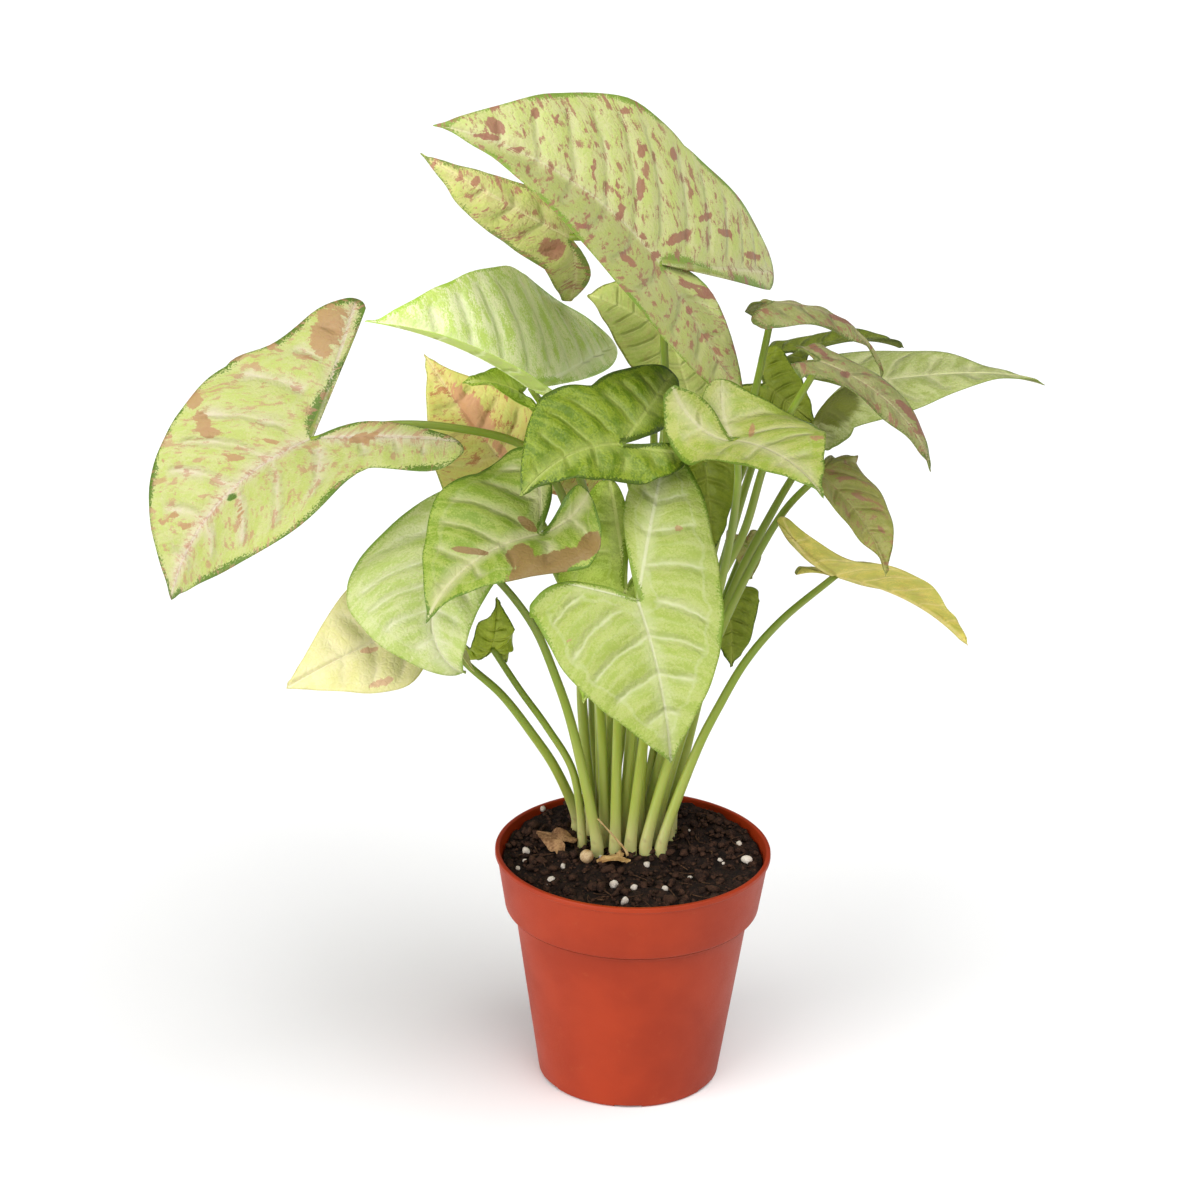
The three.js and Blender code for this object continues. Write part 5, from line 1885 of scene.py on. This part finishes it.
@dataclass
class Pot:
    """The moulded pot: a tapering wall under a rim band with a small lip, and notches at its foot.

    A corner is a radius, a height and how far its rounding reaches.
    """

    corners: tuple[Triple, ...] = (
        (35.6, 0, 1.5), (46.25, 72, 3), (49.75, 72, 1.3), (53.2, 93.7, 0.4), (54, 93.9, 0.4),
        (54, 96, 0.7), (52.2, 96, 0.6), (51.9, 93.6, 0.8), (48.5, 73.95, 1.5), (45.5, 72.8, 1.5),
        (44.5, 69, 1), (34.1, 3.7, 1), (33, 2.6, 0.8),
    )
    floor: float = 2.6
    steps: int = 5
    sides: int = 192
    notch_count: int = 6
    notch_width: float = 11.0
    notch_height: float = 1.1
    notch_depth: float = 6.0
    notch_edge: float = 0.002
    ring_gap: float = 0.05
    base_radius: float = 35.6
    rings_between: float = 6.0
    sharp: float = 40

    def profile(self) -> np.ndarray:
        """Draw the section from the base's middle, up the outside and down the inside to the floor.

        Each corner is rounded by a curve between two points set back from it, start*(1-t)^2 +
        2*corner*t*(1-t) + stop*t^2, and long stretches are split.

        Returns:
            Radius and height of each point.
        """
        corners = np.array(self.corners, float)
        ends = np.array([(0, 0), (0, self.floor)])
        spots = np.concatenate([ends[:1], corners[:, :2], ends[1:]])
        t = np.linspace(0, 1, self.steps + 1)[:, None]
        made = [ends[:1]]
        for before, here, after, reach in zip(spots[:-2], spots[1:-1], spots[2:], corners[:, 2]):
            start, stop = here + unit(before - here) * reach, here + unit(after - here) * reach
            made.append(start * (1 - t) ** 2 + here * 2 * t * (1 - t) + stop * t**2)
        line = np.concatenate([*made, ends[1:]])
        out = [line[:1]]
        for start, stop in zip(line[:-1], line[1:]):
            count = max(1, int(np.linalg.norm(stop - start) // self.rings_between))
            out.append(start + (stop - start) * (np.arange(1, count + 1) / count)[:, None])
        return np.concatenate(out)

    def notches(self) -> tuple[np.ndarray, float]:
        """Give the turn of each notch's middle, and half of a notch's turn."""
        return even_turns(self.notch_count) - np.pi / 2, self.notch_width / 2 / self.base_radius

    def columns(self) -> np.ndarray:
        """Spread the columns evenly, with two close together at each side of a notch.

        Returns:
            The turn of each column.
        """
        middles, half = self.notches()
        edge = self.notch_edge
        beside = np.array([-half - edge, -half + edge, half - edge, half + edge])
        edges = (middles[:, None] + beside).ravel()
        even = even_turns(self.sides) - np.pi
        apart = turn_gap(even, edges) > 3 * edge
        return np.sort(np.concatenate([np.angle(np.exp(1j * edges)), even[apart]]))

    def surface(self) -> Surface:
        """Turn the section about the axis, and lift the foot in the notches.

        Returns:
            The surface.
        """
        line, turn = self.profile(), self.columns()
        middles, half = self.notches()
        inner = self.base_radius - self.notch_depth
        outer_rows = len(line) // 2
        flat = (line[:, 1] == 0) & (np.arange(len(line)) < outer_rows)
        rings = np.array([(inner - self.ring_gap, 0), (inner + self.ring_gap, 0)])
        line = np.concatenate([line[flat & (line[:, 0] < rings[0, 0])], rings,
                               line[flat & (line[:, 0] > rings[1, 0])], line[~flat]])
        radius, height = line[1:-1, 0][:, None], line[1:-1, 1][:, None]
        outside = np.arange(len(radius))[:, None] < outer_rows
        lifted = (turn_gap(turn, middles) < half) & (radius > inner) & outside
        z = np.where(lifted, np.maximum(height, self.notch_height), height)
        rings = np.stack([radius * np.cos(turn), radius * np.sin(turn), z], -1)
        return Surface(*close_rings(rings, (0, 0, line[0, 1]), (0, 0, line[-1, 1])))

    def build(self) -> None:
        """Make the pot's piece."""
        build_piece("nursery_pot", [self.surface()], [PotFinish()], ("pot",), self.sharp)


# ---- studio

@dataclass(frozen=True)
class Sun:
    """A broad far light. Turn is its side, from the front to the right, and height its rise."""

    name: str
    strength: float
    softness: float
    turn: float
    height: float

    def add(self) -> None:
        """Make the light, pointing from its side and rise at the plant."""
        data = bpy.data.lights.new(self.name, "SUN")
        data.energy, data.angle = self.strength, math.radians(self.softness)
        turn, height = math.radians(self.turn), math.radians(self.height)
        toward = Vector((math.sin(turn) * math.cos(height), -math.cos(turn) * math.cos(height),
                         math.sin(height)))
        light = add_object(self.name, data)
        light.rotation_euler = (-toward).to_track_quat("-Z", "Y").to_euler()


@dataclass
class Studio:
    """The pale floor, soft light from the left front and from above, and the white surroundings.

    floor_side is in metres.
    """

    floor_side: float = 12.0
    floor_tones: Pair = (0.89, 0.92)
    suns: tuple[Sun, ...] = (Sun("side_light", 2.6, 50, -48, 20), Sun("top_light", 2.8, 60, 38, 60))
    world: float = 0.27

    def build(self) -> None:
        """Make the floor, the suns and the surrounding light."""
        half = self.floor_side / 2
        corners = [(-half, -half, 0), (half, -half, 0), (half, half, 0), (-half, half, 0)]
        mesh = bpy.data.meshes.new("studio_floor")
        mesh.from_pydata(corners, [], [(0, 1, 2, 3)])
        floor = add_object("studio_floor", mesh)
        g = Graph("pale_floor")
        low, high = ((tone, tone, tone, 1.0) for tone in self.floor_tones)
        mesh.materials.append(g.finish(g.mix(g.noise(g.object_place(), 3.0, 3.0), low, high), 0.8))
        for sun in self.suns:
            sun.add()
        world = bpy.data.worlds.new("soft_room")
        world.use_nodes = True
        back = world.node_tree.nodes["Background"]
        back.inputs["Color"].default_value = (1.0, 1.0, 1.0, 1.0)
        back.inputs["Strength"].default_value = self.world
        bpy.context.scene.world = world


def main() -> None:
    """Build the view, the studio and each part of the plant."""
    logging.basicConfig(level=logging.INFO, format="%(message)s")
    bpy.context.scene.view_settings.view_transform = "Standard"
    VIEW.make_camera()
    Studio().build()
    Pot().build()
    Soil().build()
    Litter().build()
    for blade in LEAVES:
        skin, spots = DRESSES[blade.name]
        Leaf(blade, skin.value, spots).build()


if __name__ == "__main__":
    main()
